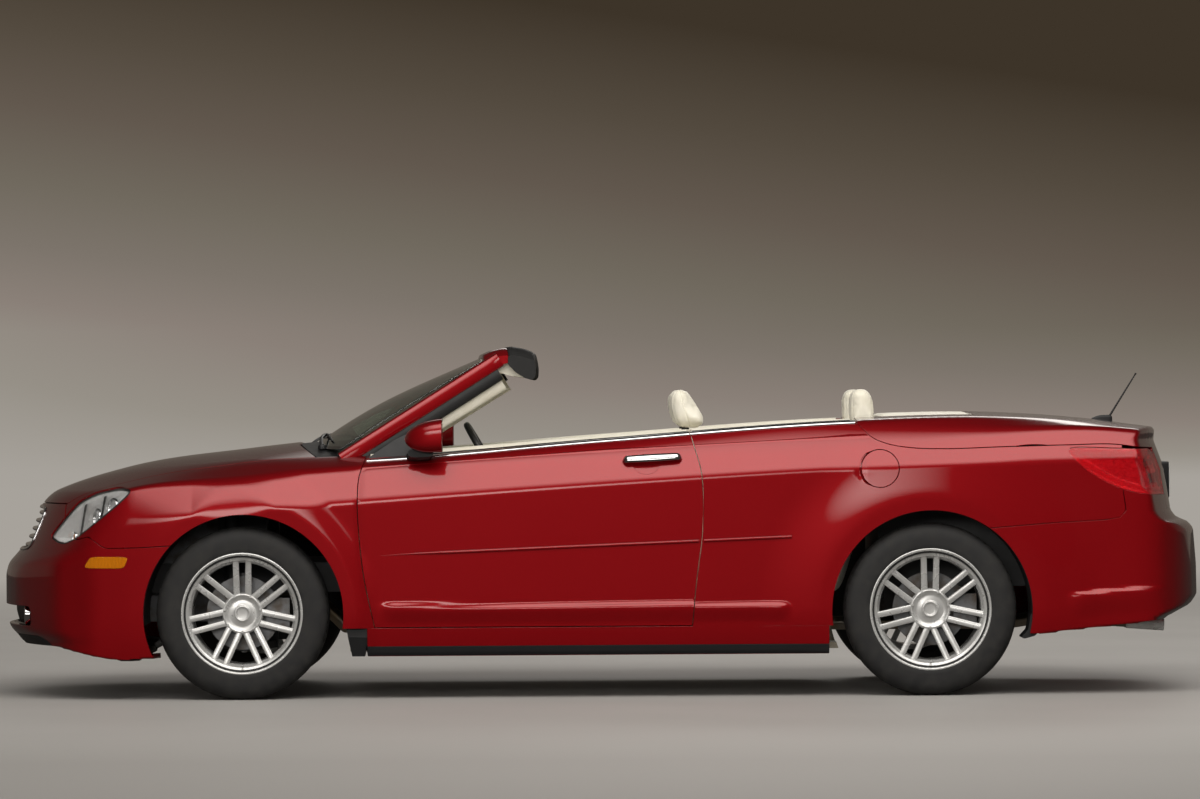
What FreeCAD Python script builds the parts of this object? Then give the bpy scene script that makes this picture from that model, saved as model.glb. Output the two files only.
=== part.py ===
"""A four-seat convertible car with its soft top stowed, in millimetres.

+X runs from nose to tail, +Y to the car's right and +Z up. The origin is on the floor, under
the middle of the car's length and width. The body is one lofted envelope. Each outer panel is
the part of that envelope inside its own shut lines, less a smaller envelope for its thickness.
"""
import FreeCAD
import Part
import math
import os

# ---------------------------------------------------------------- driving dimensions
WHEELBASE = 2765.0
FRONT_AXLE_X = -1440.0
REAR_AXLE_X = FRONT_AXLE_X + WHEELBASE
HALF_TRACK = 785.0
NOSE_X = -2463.0
TAIL_X = 2463.0
NOSE_ROUND = 1400.0             # plan radius of the nose
TAIL_ROUND = 3000.0             # plan radius of the tail

TYRE_RADIUS = 347.0
TYRE_WIDTH = 215.0
RIM_FLANGE_RADIUS = 246.0
RIM_SEAT_RADIUS = 228.0
RIM_BORE_RADIUS = 215.0
RIM_HALF_WIDTH = 102.0
RIM_OFFSET = 40.0               # hub face outboard of the wheel's middle plane
SPOKE_PAIRS = 7
SPOKE_WIDTH = 25.0
SPOKE_PITCH = 50.0              # between the two spokes of a pair
HUB_RADIUS = 78.0
BOLT_CIRCLE = 114.3
BOLT_HOLES = 5
BOLT_HOLE_RADIUS = 7.0
DISC_RADIUS = 148.0
SPINDLE_RADIUS = 20.0
PIN_FIT = 0.3                   # running clearance at pins and spindles
AXLE_Z = TYRE_RADIUS

SHUT_GAP = 5.5                  # between a moving panel and its neighbours
HOOD_SIDE_GAP = 7.0
HOOD_FRONT_GAP = 12.0           # the hood's front edge comes forward as it lifts
HOOD_REAR_GAP = 14.0            # and its rear edge goes back
TONNEAU_REAR_GAP = 8.0
REST_GAP = 0.3                  # between a closed panel and the rubber it rests on
SKIN = 25.0                     # fender and quarter outside the cabin
BUMPER_WALL = 30.0
LID_THICKNESS = 32.0            # hood and deck lid with their inner frames
CABIN_WALL = 105.0              # whole door or side wall, outer skin to inner trim
TRIM = 30.0                     # the inner trim's share of that wall
SILL_INNER = 750.0              # the sill box's inner face
LAMP_DEPTH = 70.0
CABIN_HALF_WIDTH = 700.0        # between the belt rolls of the two side walls

ARCH_RADIUS = 403.0
ARCH_SHIFT_X = 6.0              # arch centre behind the axle
ARCH_DROP_Z = 4.0               # arch centre below the axle
LINER = 6.0

FAR = 1200.0                    # beyond the body on any side

# Body sections. Columns: station x; half-width at the bottom edge and at the rocker's top;
# half-width and height of the side crease, of the shoulder, and of the belt or lid edge;
# height on the centre line.
BODY_SECTIONS = (
    (-2480, 850, 880, 885, 600, 838, 688, 600, 706, 715),
    (-2235, 850, 882, 890, 655, 848, 752, 610, 788, 842),
    (-1960, 855, 886, 898, 705, 856, 838, 660, 872, 928),
    (-1440, 860, 890, 908, 762, 858, 893, 718, 953, 1004),
    (-950, 862, 893, 908, 797, 856, 930, 780, 964, 1052),
    (0, 862, 893, 908, 862, 852, 993, 798, 1036, 1090),
    (1010, 862, 893, 908, 918, 850, 1043, 792, 1104, 1128),
    (1530, 858, 890, 908, 934, 848, 1062, 770, 1116, 1136),
    (2000, 850, 882, 895, 945, 835, 1072, 730, 1092, 1106),
    (2290, 840, 870, 880, 948, 815, 1050, 700, 1061, 1068),
    (2480, 830, 860, 870, 948, 800, 1036, 680, 1045, 1050),
)
BODY_BOTTOM_Z = 145.0
ROCKER_TOP_Z = 285.0

# Nose and tail on the centre line, and the underside in side view, as (x, z).
NOSE_PROFILE = (
    (-2404, 100), (-2404, 232), (-2446, 275), (NOSE_X, 340), (NOSE_X, 496), (-2451, 541),
    (-2393, 606), (-2318, 776), (-2296, 830), (-2290, 1400),
)
TAIL_PROFILE = (
    (2360, 100), (2360, 305), (2437, 346), (TAIL_X, 385), (2461, 510), (2450, 655),
    (2427, 683), (2382, 698), (2358, 730), (2348, 798), (2332, 903), (2288, 1022),
    (2294, 1046), (2294, 1400),
)
UNDERSIDE = (
    (-2600, 232), (-2404, 232), (-2336, 209), (-2190, 214), (-2020, 176), (-1864, 153),
    (-1840, 172), (1700, 172), (1762, 247), (2180, 290), (2360, 305), (2600, 305),
)
# Plan outline of one half, nose to tail, as (x, y), or (x, y, mid x, mid y) after an arc.
PLAN_HALF = (
    (-2600, 0), (-2500, 300), (-2372, 520), (-1850, 905, -2200, 770), (-1500, 1000),
    (1700, 1000), (1900, 905), (2395, 640, 2240, 835), (2500, 400), (2600, 0),
)

# Shut lines in side view, as (x, z).
DECK_FRONT_X = 1036.0
DOOR_FRONT = ((-905, 290), (-948, 502), (-965, 657), (-971, 790), (-965, 891), (-940, 975))
# The door's rear edge, with the half-width of the body at each height.
DOOR_REAR = (
    (366, 290, 893), (384, 473, 898), (407, 648, 902), (411, 840, 906), (404, 911, 890),
    (380, 998, 852), (356, 1080, 790),
)
DECK_LINE = (
    (DECK_FRONT_X, 1100), (1097, 1041), (1152, 1017), (1263, 998), (1374, 994), (1614, 1000),
    (1891, 1006), (2075, 1007), (2158, 997), (2182, 990), (2500, 990),
)
TAIL_LAMP = (
    (1881, 999), (1891, 962), (1946, 906), (2029, 855), (2103, 822), (2195, 803),
    (2500, 797), (2500, 999),
)
HEADLAMP = (
    (-2230, 655), (-2203, 698), (-2114, 798), (-2034, 838), (-1933, 860), (-1886, 849),
    (-1892, 828), (-1953, 773), (-2046, 701), (-2118, 645), (-2167, 625), (-2192, 638),
)
FRONT_SEAM = ((-2118, 645), (-2060, 663), (-2016, 627), (-1988, 611), (-1700, 626))
REAR_SEAM = ((1500, 668), (2085, 706), (2112, 735), (2096, 826))
MUD_FLAP = ((-1021, 284), (-935, 284), (-935, 241), (-949, 172), (-999, 172), (-1014, 242))
MIRROR = (
    (-777, 1037), (-745, 1110), (-689, 1127), (-645, 1109), (-622, 1064), (-625, 997),
    (-745, 986),
)

HOOD_REAR_X = -1250.0           # rear edge of the hood on the centre line
HOOD_CORNER_X = -1150.0         # and at its corners
HOOD_HALF_WIDTH = 715.0
HOOD_FRONT_X = -2308.0
HOOD_FRONT_HALF_WIDTH = 520.0
HOOD_BOTTOM_Z = 768.0           # lower edge of the hood's nose
# Side edge of the hood in plan, as (x, distance inside the half-width).
HOOD_EDGE = ((-1700, 8), (-2070, 62), (-2145, 112))
GRILLE_HALF_WIDTH = 400.0
GRILLE_TOP_Z = 765.0
GRILLE_BOTTOM_Z = 600.0
GRILLE_BARS = 4
INTAKE_HALF_WIDTH = 560.0
INTAKE_TOP_Z = 374.0
INTAKE_BOTTOM_Z = 292.0
SILL_TOP_Z = 284.5
SILL_FRONT_X = -935.0
SILL_REAR_X = 915.0
DOOR_BOTTOM_Z = 290.0
TUNNEL_TOP_Z = 328.0
ENGINE_REAR_X = -1400.0
EXHAUST_TIP_Y = (-540, -480)
BELT_STRIP = 16.0

TONNEAU_FRONT_X = 1150.0
TONNEAU_REAR_X = 1525.0
TONNEAU_HALF_WIDTH = 604.0
TONNEAU_WALL = 20.0
DECK_FACE_BOTTOM_Z = 742.0
DECK_FACE_HALF_WIDTH = 560.0
ANTENNA_BASE = ((2050, 1070), (2052, 1118), (2070, 1128), (2126, 1131), (2134, 1070))
ANTENNA_TIP = (2235.0, 0.0, 1293.0)
ANTENNA_RADIUS = 4.0
PLATE_WIDTH = 305.0
PLATE_HEIGHT = 152.0
PLATE_Z = 775.0
PLATE_FACE_X = 2356.0
PLATE_SCREW_PITCH = 178.0
PLATE_SCREW_Z = 911.0
PLATE_SCREW_RADIUS = 3.0

FUEL_DOOR = (1125.0, 914.0, 74.0)   # x, z, radius
FUEL_LID = 8.0
FUEL_POCKET = 15.0

# Joint axes.
DOOR_AXIS_X = -957.0
DOOR_AXIS_Y = 906.0             # distance from the centre line
KINGPIN_Y = 730.0               # distance of the upright steering axis from the centre line
PIN_RADIUS = 16.0
PIN_REACH = 160.0               # above and below the hub
ARM_TOP = 155.0                 # outer face of a suspension arm, from the hub's height
ARM_THICKNESS = 30.0
WHEEL_CENTRE = (-456.0, -370.0, 945.0)
COLUMN_TILT_DEG = 30.0
STEERING_WHEEL_RADIUS = 188.0
STEERING_RIM = 14.0

# Windshield frame. Columns: height; x on the centre line; x at the sides; half-width.
SCREEN_SECTIONS = (
    (940, -1290, -1126, 770),
    (1020, -1180, -1000, 760),
    (1190, -905, -731, 690),
    (1400, -432, -400, 600),
)
FRAME_DEPTH = 95.0
GLASS_DEPTH = 10.0              # along x; the glass is about half as thick across its slope
SCREEN_OUTER = ((-760, 930), (-735, 1030), (-592, 1375), (-560, 1402), (-500, 1412))
SCREEN_INNER = ((-700, 930), (-676, 1030), (-548, 1330), (-520, 1350), (-480, 1356))
HEADER = ((-440, 1380), (-361, 1417), (-259, 1397), (-259, 1362), (-345, 1347), (-420, 1350))

NODES = {}


# ---------------------------------------------------------------- helpers
def vec(x, y, z):
    return FreeCAD.Vector(x, y, z)


def outline(points, place):
    """Closed wire through 2-D points. A point of four numbers ends an arc by way of its last two."""
    edges = []
    last = points[-1]
    for point in points:
        start = place(last[0], last[1])
        end = place(point[0], point[1])
        if len(point) == 4:
            edges.append(Part.Arc(start, place(point[2], point[3]), end).toShape())
        else:
            edges.append(Part.makeLine(start, end))
        last = point
    return Part.Wire(edges)


def side_prism(points, y_low=-FAR, y_high=FAR):
    """A side-view outline of (x, z), carried across the car from y_low to y_high."""
    wire = outline(points, lambda a, b: vec(a, y_low, b))
    return Part.Face(wire).extrude(vec(0, y_high - y_low, 0))


def plan_prism(points, z_low, z_high):
    """A plan outline of (x, y), carried up from z_low to z_high."""
    wire = outline(points, lambda a, b: vec(a, b, z_low))
    return Part.Face(wire).extrude(vec(0, 0, z_high - z_low))


def front_prism(points, x_low, x_high):
    """A front-view outline of (y, z), carried along the car from x_low to x_high."""
    wire = outline(points, lambda a, b: vec(x_low, a, b))
    return Part.Face(wire).extrude(vec(x_high - x_low, 0, 0))


def block(x_low, x_high, y_low, y_high, z_low, z_high):
    corner = vec(x_low, y_low, z_low)
    return Part.makeBox(x_high - x_low, y_high - y_low, z_high - z_low, corner)


def rod(start, end, radius):
    """A round bar from start to end."""
    along = end.sub(start)
    return Part.makeCylinder(radius, along.Length, start, along)


def mirrored(shape):
    return shape.mirror(vec(0, 0, 0), vec(0, 1, 0))


def pair(shape):
    """The shape's solids and their mirror images."""
    return Part.makeCompound(list(shape.Solids) + list(mirrored(shape).Solids))


def joined(shapes):
    return shapes[0].multiFuse(list(shapes[1:])).removeSplitter()


def shifted(points, dx, dz):
    return [(x + dx, z + dz) for x, z in points]


def biggest(shape):
    return max(shape.Solids, key=lambda s: s.Volume)


def node(name, shape):
    """Keeps the shape's closed solids under the node's name."""
    NODES[name] = Part.makeCompound([s for s in shape.Solids if s.Volume > 50.0])


# ---------------------------------------------------------------- the body envelope
def section_wire(row, inset):
    x, y_low, y_rocker, y_crease, z_crease, y_shoulder, z_shoulder, y_top, z_top, z_middle = row
    half = (
        (y_low - inset, BODY_BOTTOM_Z + inset), (y_rocker - inset, ROCKER_TOP_Z),
        (y_crease - inset, z_crease), (y_shoulder - inset, z_shoulder - inset / 2),
        (y_top - inset / 2, z_top - inset),
    )
    left = [(-y, z) for y, z in reversed(half)]
    left[0] = left[0] + (0.0, z_middle - inset)
    return outline(list(half) + left, lambda y, z: vec(x, y, z))


def turned(profile, x, radius, inset):
    """A profile of (x, z) turned about an upright line, radius behind the outermost point."""
    toward = 1 if x < 0 else -1
    middle = x + toward * radius
    points = [(px + toward * inset, z) for px, z in profile]
    points += [(middle, points[-1][1]), (middle, points[0][1])]
    face = Part.Face(outline(points, lambda a, b: vec(a, 0, b)))
    return face.revolve(vec(middle, 0, 0), vec(0, 0, 1), 360), middle


def plan_shape(inset):
    """The plan outline drawn in by inset, as a prism."""
    right = []
    for point in PLAN_HALF:
        moved = []
        for i in range(0, len(point), 2):
            moved.append(point[i] + (inset if point[i] < 0 else -inset))
            moved.append(max(point[i + 1] - inset, 0.0))
        right.append(tuple(moved))
    left = []
    for i in range(len(right) - 2, -1, -1):
        arc = right[i + 1][2:]
        left.append((right[i][0], -right[i][1]) + ((arc[0], -arc[1]) if arc else ()))
    return plan_prism(right + left[:-1], 0, 1400)


def envelope(inset):
    """The closed body shape, drawn in by inset on every side."""
    shape = Part.makeLoft([section_wire(row, inset) for row in BODY_SECTIONS], True, True)
    nose, nose_middle = turned(NOSE_PROFILE, NOSE_X, NOSE_ROUND, inset)
    tail, tail_middle = turned(TAIL_PROFILE, TAIL_X, TAIL_ROUND, inset)
    split = (nose_middle + tail_middle) / 2
    front = shape.common(block(-2600, split, -FAR, FAR, 0, 1400))
    front = front.cut(block(-2600, nose_middle, -FAR, FAR, 0, 1400).cut(nose))
    rear = shape.common(block(split, 2600, -FAR, FAR, 0, 1400))
    rear = rear.common(tail)
    under = side_prism(shifted(UNDERSIDE, 0, inset) + [(2600, 1400), (-2600, 1400)])
    return front.fuse(rear).common(under).common(plan_shape(inset)).removeSplitter()


ENVELOPES = {}


def body(inset=0.0):
    if inset not in ENVELOPES:
        ENVELOPES[inset] = envelope(inset)
    return ENVELOPES[inset]


def panel(region, depth):
    """The wall of the envelope inside a region, depth thick."""
    return body().common(region).cut(body(depth))


# ---------------------------------------------------------------- regions that panels share
def arch(axle_x):
    """The round opening over one axle, from side to side."""
    start = vec(axle_x + ARCH_SHIFT_X, -FAR, AXLE_Z - ARCH_DROP_Z)
    return Part.makeCylinder(ARCH_RADIUS, 2 * FAR, start, vec(0, 1, 0))


def hood_region(gap, front_gap, rear_gap):
    """The hood in plan. Its front edge is an arc about the same line as the nose."""
    corner = HOOD_CORNER_X + rear_gap
    width = HOOD_HALF_WIDTH + gap
    radius = NOSE_X + NOSE_ROUND - HOOD_FRONT_X + front_gap
    half = HOOD_FRONT_HALF_WIDTH + gap
    end = NOSE_X + NOSE_ROUND - math.sqrt(radius ** 2 - half ** 2)
    edge = [(x - gap, width - inset) for x, inset in HOOD_EDGE]
    points = [(corner, -width), (corner, width, HOOD_REAR_X + rear_gap, 0)] + edge
    points += [(end, half), (end, -half, HOOD_FRONT_X - front_gap, 0)]
    points += [(x, -y) for x, y in reversed(edge)]
    return plan_prism(points, HOOD_BOTTOM_Z - gap, 1300)


def two_sided(points, inner):
    """A side-view outline on both sides of the car, outboard of inner."""
    left = side_prism(points, -FAR, -inner)
    return left.fuse(mirrored(left))


def deck_region(gap):
    """Everything the deck lid covers: above its shut line and down its rear face."""
    line = shifted(DECK_LINE[:4], -gap, -gap) + shifted(DECK_LINE[4:], 0, -gap)
    top = side_prism(line + [(2500, 1300), (DECK_FRONT_X - gap, 1300)])
    half = DECK_FACE_HALF_WIDTH + gap
    face = block(2150, 2500, -half, half, DECK_FACE_BOTTOM_Z - gap, 1100)
    well = block(900, TONNEAU_REAR_X - gap, gap - 610, 610 - gap, 900, 1300)
    return top.fuse(face).cut(well)


def door_sweep(gap):
    """The left door's rear shut line turned about its hinge axis, so that the gap stays even."""
    points = []
    for x, z, half in DOOR_REAR:
        reach = math.hypot(x - DOOR_AXIS_X, DOOR_AXIS_Y - half)
        points.append((DOOR_AXIS_X + reach + gap, z))
    points += [(points[-1][0], 1300), (DOOR_AXIS_X, 1300), (DOOR_AXIS_X, 0), (points[0][0], 0)]
    face = Part.Face(outline(points, lambda a, b: vec(a, -DOOR_AXIS_Y, b)))
    return face.revolve(vec(DOOR_AXIS_X, -DOOR_AXIS_Y, 0), vec(0, 0, 1), 360)


def door_region(inner):
    """The left door between its shut lines, outboard of inner."""
    points = list(DOOR_FRONT) + [(DOOR_FRONT[-1][0], 1250), (500, 1250), (500, DOOR_BOTTOM_Z)]
    return side_prism(points, -FAR, -inner).common(door_sweep(0))


def sealed_buffer(x, y, bottom, radius, inset):
    """A rubber buffer that stops just short of a lid's inner face."""
    shape = Part.makeCylinder(radius, 1300 - bottom, vec(x, y, bottom), vec(0, 0, 1))
    return shape.common(body(inset + REST_GAP))


# ---------------------------------------------------------------- front panels
def make_front():
    wheel_arch = arch(FRONT_AXLE_X)
    hood_opening = hood_region(HOOD_SIDE_GAP, HOOD_FRONT_GAP, HOOD_REAR_GAP)
    lamps = two_sided(HEADLAMP, 430)
    grille_opening = block(
        -2600, -2150, -GRILLE_HALF_WIDTH, GRILLE_HALF_WIDTH, GRILLE_BOTTOM_Z, GRILLE_TOP_Z)
    intake = block(
        -2600, -2150, -INTAKE_HALF_WIDTH, INTAKE_HALF_WIDTH, INTAKE_BOTTOM_Z, INTAKE_TOP_Z)

    node("hood", biggest(panel(hood_region(0, 0, 0), LID_THICKNESS)))
    node("headlamps", panel(lamps, LAMP_DEPTH).cut(hood_opening))

    front_edge = shifted(DOOR_FRONT, -SHUT_GAP, 0)
    points = [(front_edge[0][0], SILL_TOP_Z + 0.5)] + front_edge
    points += [(front_edge[-1][0], 1300), (-2150, 1300), (-2150, 663)]
    points += list(FRONT_SEAM) + [(-1500, SILL_TOP_Z + 0.5)]
    fender = panel(side_prism(points, -FAR, -300), SKIN)
    fender = fender.cut(hood_opening).cut(lamps).cut(wheel_arch)
    fender = fender.cut(block(HOOD_CORNER_X, 0, -CABIN_HALF_WIDTH, 0, 0, 1300))
    node("front_fenders", pair(biggest(fender)))

    bumper = panel(block(-2600, -1700, -FAR, FAR, 0, 1300), BUMPER_WALL)
    seam = side_prism(list(FRONT_SEAM) + [(-1700, 1300), (-2150, 1300), (-2150, 663)])
    bumper = bumper.cut(seam).cut(hood_opening).cut(lamps)
    bumper = bumper.cut(grille_opening).cut(intake).cut(wheel_arch)
    bumper = bumper.cut(plan_prism([(-2260, -450), (-2260, 450), (-1600, 780), (-1600, -780)], 0, 1300))
    node("front_bumper", biggest(bumper))

    surround = panel(grille_opening, BUMPER_WALL).cut(hood_opening)
    cuts = []
    pitch = (GRILLE_TOP_Z - GRILLE_BOTTOM_Z) / (GRILLE_BARS + 0.5)
    for i in range(GRILLE_BARS):
        z = GRILLE_BOTTOM_Z + pitch * (i + 0.5)
        half = GRILLE_HALF_WIDTH - 25
        cuts.append(block(-2600, -2150, -half, half, z, z + pitch * 0.55))
    for cut in cuts:
        surround = surround.cut(cut)
    node("grille", biggest(surround))

    cowl_back = -990.0
    behind = block(HOOD_REAR_X, cowl_back, -CABIN_HALF_WIDTH, CABIN_HALF_WIDTH, 700, 1300)
    node("cowl", biggest(panel(behind.cut(hood_opening), 60)))


# ---------------------------------------------------------------- rear panels
def make_rear():
    wheel_arch = arch(REAR_AXLE_X)
    deck_opening = deck_region(SHUT_GAP)
    lamps = two_sided(TAIL_LAMP, DECK_FACE_HALF_WIDTH + SHUT_GAP)

    deck = biggest(panel(deck_region(0), LID_THICKNESS))
    node("deck_lid", deck)
    half = PLATE_WIDTH / 2
    plate = block(2200, PLATE_FACE_X, -half, half, PLATE_Z, PLATE_Z + PLATE_HEIGHT).cut(body())
    for y in (-PLATE_SCREW_PITCH / 2, PLATE_SCREW_PITCH / 2):
        start = vec(PLATE_FACE_X - 12, y, PLATE_SCREW_Z)
        plate = plate.cut(Part.makeCylinder(PLATE_SCREW_RADIUS, 20, start, vec(1, 0, 0)))
    node("rear_plate", biggest(plate))
    inside = block(1800, 2230, -700, 700, 0, 1300)
    node("tail_lamps", panel(lamps, LAMP_DEPTH).cut(deck_opening).cut(inside))

    base = side_prism(ANTENNA_BASE, -17, 17).cut(body())
    mast = rod(vec(2119, 0, 1118), vec(*ANTENNA_TIP), ANTENNA_RADIUS)
    node("antenna_mast", biggest(base.fuse(mast)))

    door_opening = door_sweep(SHUT_GAP)
    points = [(300, SILL_TOP_Z), (300, 1300), (2096, 1300)]
    points += list(reversed(REAR_SEAM)) + [(1400, SILL_TOP_Z)]
    region = side_prism(points, -FAR, -300).cut(door_opening)
    deep = region.common(block(0, 1000, -FAR, 0, 0, 1300))
    quarter = joined([biggest(panel(region, SKIN)), biggest(panel(deep, CABIN_WALL - TRIM))])
    quarter = quarter.cut(deck_opening).cut(lamps).cut(wheel_arch)
    quarter = quarter.cut(block(0, 2600, -CABIN_HALF_WIDTH, 0, 0, 1300))
    quarter = biggest(quarter)
    fuel_x, fuel_z, fuel_radius = FUEL_DOOR
    stem = Part.makeCylinder(10, 500, vec(fuel_x, -FAR, fuel_z), vec(0, 1, 0))
    hole = Part.makeCylinder(fuel_radius + SHUT_GAP, 500, vec(fuel_x, -FAR, fuel_z), vec(0, 1, 0))
    pocket = body().common(hole).cut(body(FUEL_POCKET))
    boss = body(FUEL_LID + REST_GAP).common(stem).cut(body(FUEL_POCKET))
    left = biggest(quarter.cut(pocket).fuse(boss))
    node("rear_quarters", Part.makeCompound([left, mirrored(quarter)]))
    lid_round = Part.makeCylinder(fuel_radius, 500, vec(fuel_x, -FAR, fuel_z), vec(0, 1, 0))
    node("fuel_door", biggest(panel(lid_round, FUEL_LID)))

    bumper = panel(block(1500, 2600, -FAR, FAR, 0, 1000), BUMPER_WALL)
    seam = side_prism(list(REAR_SEAM) + [(2096, 1300), (1500, 1300)])
    bumper = bumper.cut(seam).cut(lamps).cut(deck_opening).cut(wheel_arch)
    bumper = bumper.cut(block(1500, 1735, -FAR, FAR, 0, 1300))
    bumper = bumper.cut(plan_prism([(1600, -780), (1600, 780), (2270, 520), (2270, -520)], 0, 1300))
    outer, inner = EXHAUST_TIP_Y
    notch = block(2090, 2400, outer - 35, inner + 35, 200, 302)
    node("rear_bumper", biggest(bumper.cut(notch)))

    region = block(
        TONNEAU_FRONT_X, TONNEAU_REAR_X - TONNEAU_REAR_GAP,
        -TONNEAU_HALF_WIDTH, TONNEAU_HALF_WIDTH, 1000, 1300)
    node("tonneau_panel", panel(region, TONNEAU_WALL))

    points = [(300, 400), (300, 1300), (1000, 1300), (1000, 800), (900, 700), (900, 400)]
    region = side_prism(points, -FAR, -CABIN_HALF_WIDTH).cut(door_opening)
    trim = body(CABIN_WALL - TRIM).common(region).cut(body(CABIN_WALL)).cut(wheel_arch)
    node("side_trims", pair(biggest(trim)))


# ---------------------------------------------------------------- sides and doors
def make_sides():
    region = block(SILL_FRONT_X, SILL_REAR_X, -FAR, -SILL_INNER, 0, SILL_TOP_Z)
    sill = biggest(body().common(region))
    node("sills", pair(sill))
    flap = side_prism(MUD_FLAP, -885, -790).common(body())
    node("mud_flaps", pair(flap))
    strip = block(-900, 360, -FAR, -SILL_INNER, SILL_TOP_Z, SILL_TOP_Z + 35)
    seal = body(CABIN_WALL + REST_GAP).common(strip).cut(body(CABIN_WALL + 9))
    node("door_seals", pair(biggest(seal)))

    region = door_region(CABIN_HALF_WIDTH + SHUT_GAP)
    shell = biggest(panel(region, CABIN_WALL - TRIM))
    belt = body().cut(body(10)).common(door_region(780))
    points = []
    for row in BODY_SECTIONS[3:8]:
        points.append((row[0], row[8] - BELT_STRIP))
    strip = side_prism(points + [(1530, 1300), (-1440, 1300)], -FAR, 0)
    bright = [biggest(belt.common(strip))]
    shell = biggest(shell.cut(bright[0]))
    bar = side_prism([(95, 940), (328, 952), (328, 972), (95, 958)], -912, -896)
    feet = block(100, 130, -905, -700, 942, 956).fuse(block(292, 322, -905, -700, 950, 966))
    handle = biggest(bar.fuse(feet.cut(body())))
    trim = body(CABIN_WALL - TRIM).common(region).cut(body(CABIN_WALL))
    rest = block(-520, 200, -835, -745, 640, 700).common(body(CABIN_WALL - TRIM))
    trim = biggest(trim.fuse(rest))
    foot = block(-770, -690, -905, -775, 930, 1000).cut(body())
    mirror = biggest(side_prism(MIRROR, -1010, -850).fuse(foot).cut(body()))
    for side in ("left", "right"):
        turn = mirrored if side == "right" else lambda shape: shape
        node("door_" + side, turn(shell))
        node("door_trim_" + side, turn(trim))
        node("door_brightwork_" + side, turn(Part.makeCompound(bright + [handle])))
        node("mirror_" + side, turn(mirror))


# ---------------------------------------------------------------- structure under the panels
def make_structure():
    sills = NODES["sills"]
    floor = block(-1010, 1000, -790, 790, 190, 215)
    hump = block(-1010, 1000, -150, 150, 190, TUNNEL_TOP_Z)
    kick = block(480, 1130, -640, 640, 190, 380).cut(block(500, 1140, -620, 620, 180, 360))
    firewall = block(-1010, -990, -690, 690, 215, 940)
    post = block(-1010, -978, -900, -690, SILL_TOP_Z + 0.5, 900).common(body(SKIN))
    foot = block(-1010, -978, -790, -690, 190, SILL_TOP_Z + 0.5)
    pan = joined([floor, hump, kick, firewall, post, mirrored(post), foot, mirrored(foot)])
    pan = pan.cut(block(-1020, 1140, -130, 130, 180, TUNNEL_TOP_Z - 20)).cut(arch(REAR_AXLE_X))
    pan = pan.cut(sills).cut(NODES["mud_flaps"]).cut(NODES["cowl"])
    node("floor_pan", biggest(pan))

    rail = block(-2330, -1010, -480, -420, 420, 540)
    tower = block(-1560, -1360, -480, -420, 540, 860)
    shelf = block(-1560, -1360, -640, -420, 860, 880)
    beam = block(-2345, -2310, -600, 600, 400, 520)
    support = block(-2310, -2285, -520, 520, 320, 690)
    radiator = block(-2285, -2240, -380, 380, 320, 690)
    post = sealed_buffer(-2170, -440, 500, 14, LID_THICKNESS)
    carrier = block(-2310, -2150, -470, -400, 500, 620)
    parts = [rail, mirrored(rail), tower, mirrored(tower), shelf, mirrored(shelf), beam]
    parts += [support, radiator, carrier, mirrored(carrier), post, mirrored(post)]
    node("front_structure", biggest(joined(parts).common(body(BUMPER_WALL))))

    tub_floor = block(1130, 2280, -612, 612, 430, 450)
    wall = block(1130, 2180, -612, -600, 450, 1010)
    half = TONNEAU_HALF_WIDTH
    bulkhead = block(1130, TONNEAU_FRONT_X, -half, half, 380, 1300).common(body(TONNEAU_WALL))
    back = block(2260, 2280, -560, 560, 450, 735)
    buffer = sealed_buffer(2165, -480, 600, 14, LID_THICKNESS)
    shelf = block(2140, 2280, -520, -440, 600, 620)
    parts = [tub_floor, wall, mirrored(wall), bulkhead, back, buffer, mirrored(buffer)]
    parts += [shelf, mirrored(shelf)]
    node("trunk_tub", biggest(joined(parts).cut(NODES["rear_bumper"])))

    node("engine", block(-1950, ENGINE_REAR_X, -400, 360, 300, 780))

    liners = []
    for axle_x, inner in ((FRONT_AXLE_X, 520), (REAR_AXLE_X, 640)):
        centre = vec(axle_x + ARCH_SHIFT_X, -900, AXLE_Z - ARCH_DROP_Z)
        ring = Part.makeCylinder(ARCH_RADIUS + LINER, 900 - inner, centre, vec(0, 1, 0))
        ring = ring.cut(Part.makeCylinder(ARCH_RADIUS, 900, centre, vec(0, 1, 0)))
        ring = ring.common(block(-3000, 3000, -900, 0, 300, 900)).common(body(SKIN))
        liners.append(ring)
    liner = Part.makeCompound(liners)
    for name in ("front_structure", "floor_pan", "trunk_tub", "rear_quarters", "side_trims"):
        liner = liner.cut(NODES[name])
    for name in ("front_bumper", "rear_bumper", "front_fenders", "front_suspension"):
        liner = liner.cut(NODES[name])
    node("wheelhouse_liners", pair(liner))


# ---------------------------------------------------------------- windshield
def screen_band(front, back):
    """The windshield's curved slab, from front to back behind its outer face."""
    wires = []
    for z, x_middle, x_side, half in SCREEN_SECTIONS:
        points = [
            (x_side + front, -half), (x_side + back, -half),
            (x_side + back, half, x_middle + back, 0), (x_side + front, half),
        ]
        points[0] = points[0] + (x_middle + front, 0)
        wires.append(outline(points, lambda a, b, level=z: vec(a, b, level)))
    return Part.makeLoft(wires, True, True)


def front_view(points, x_low, x_high):
    """A symmetric front-view outline from its left half, bottom to top."""
    right = [(-y, z) for y, z in reversed(points)]
    return front_prism(list(points) + right, x_low, x_high)


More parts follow.
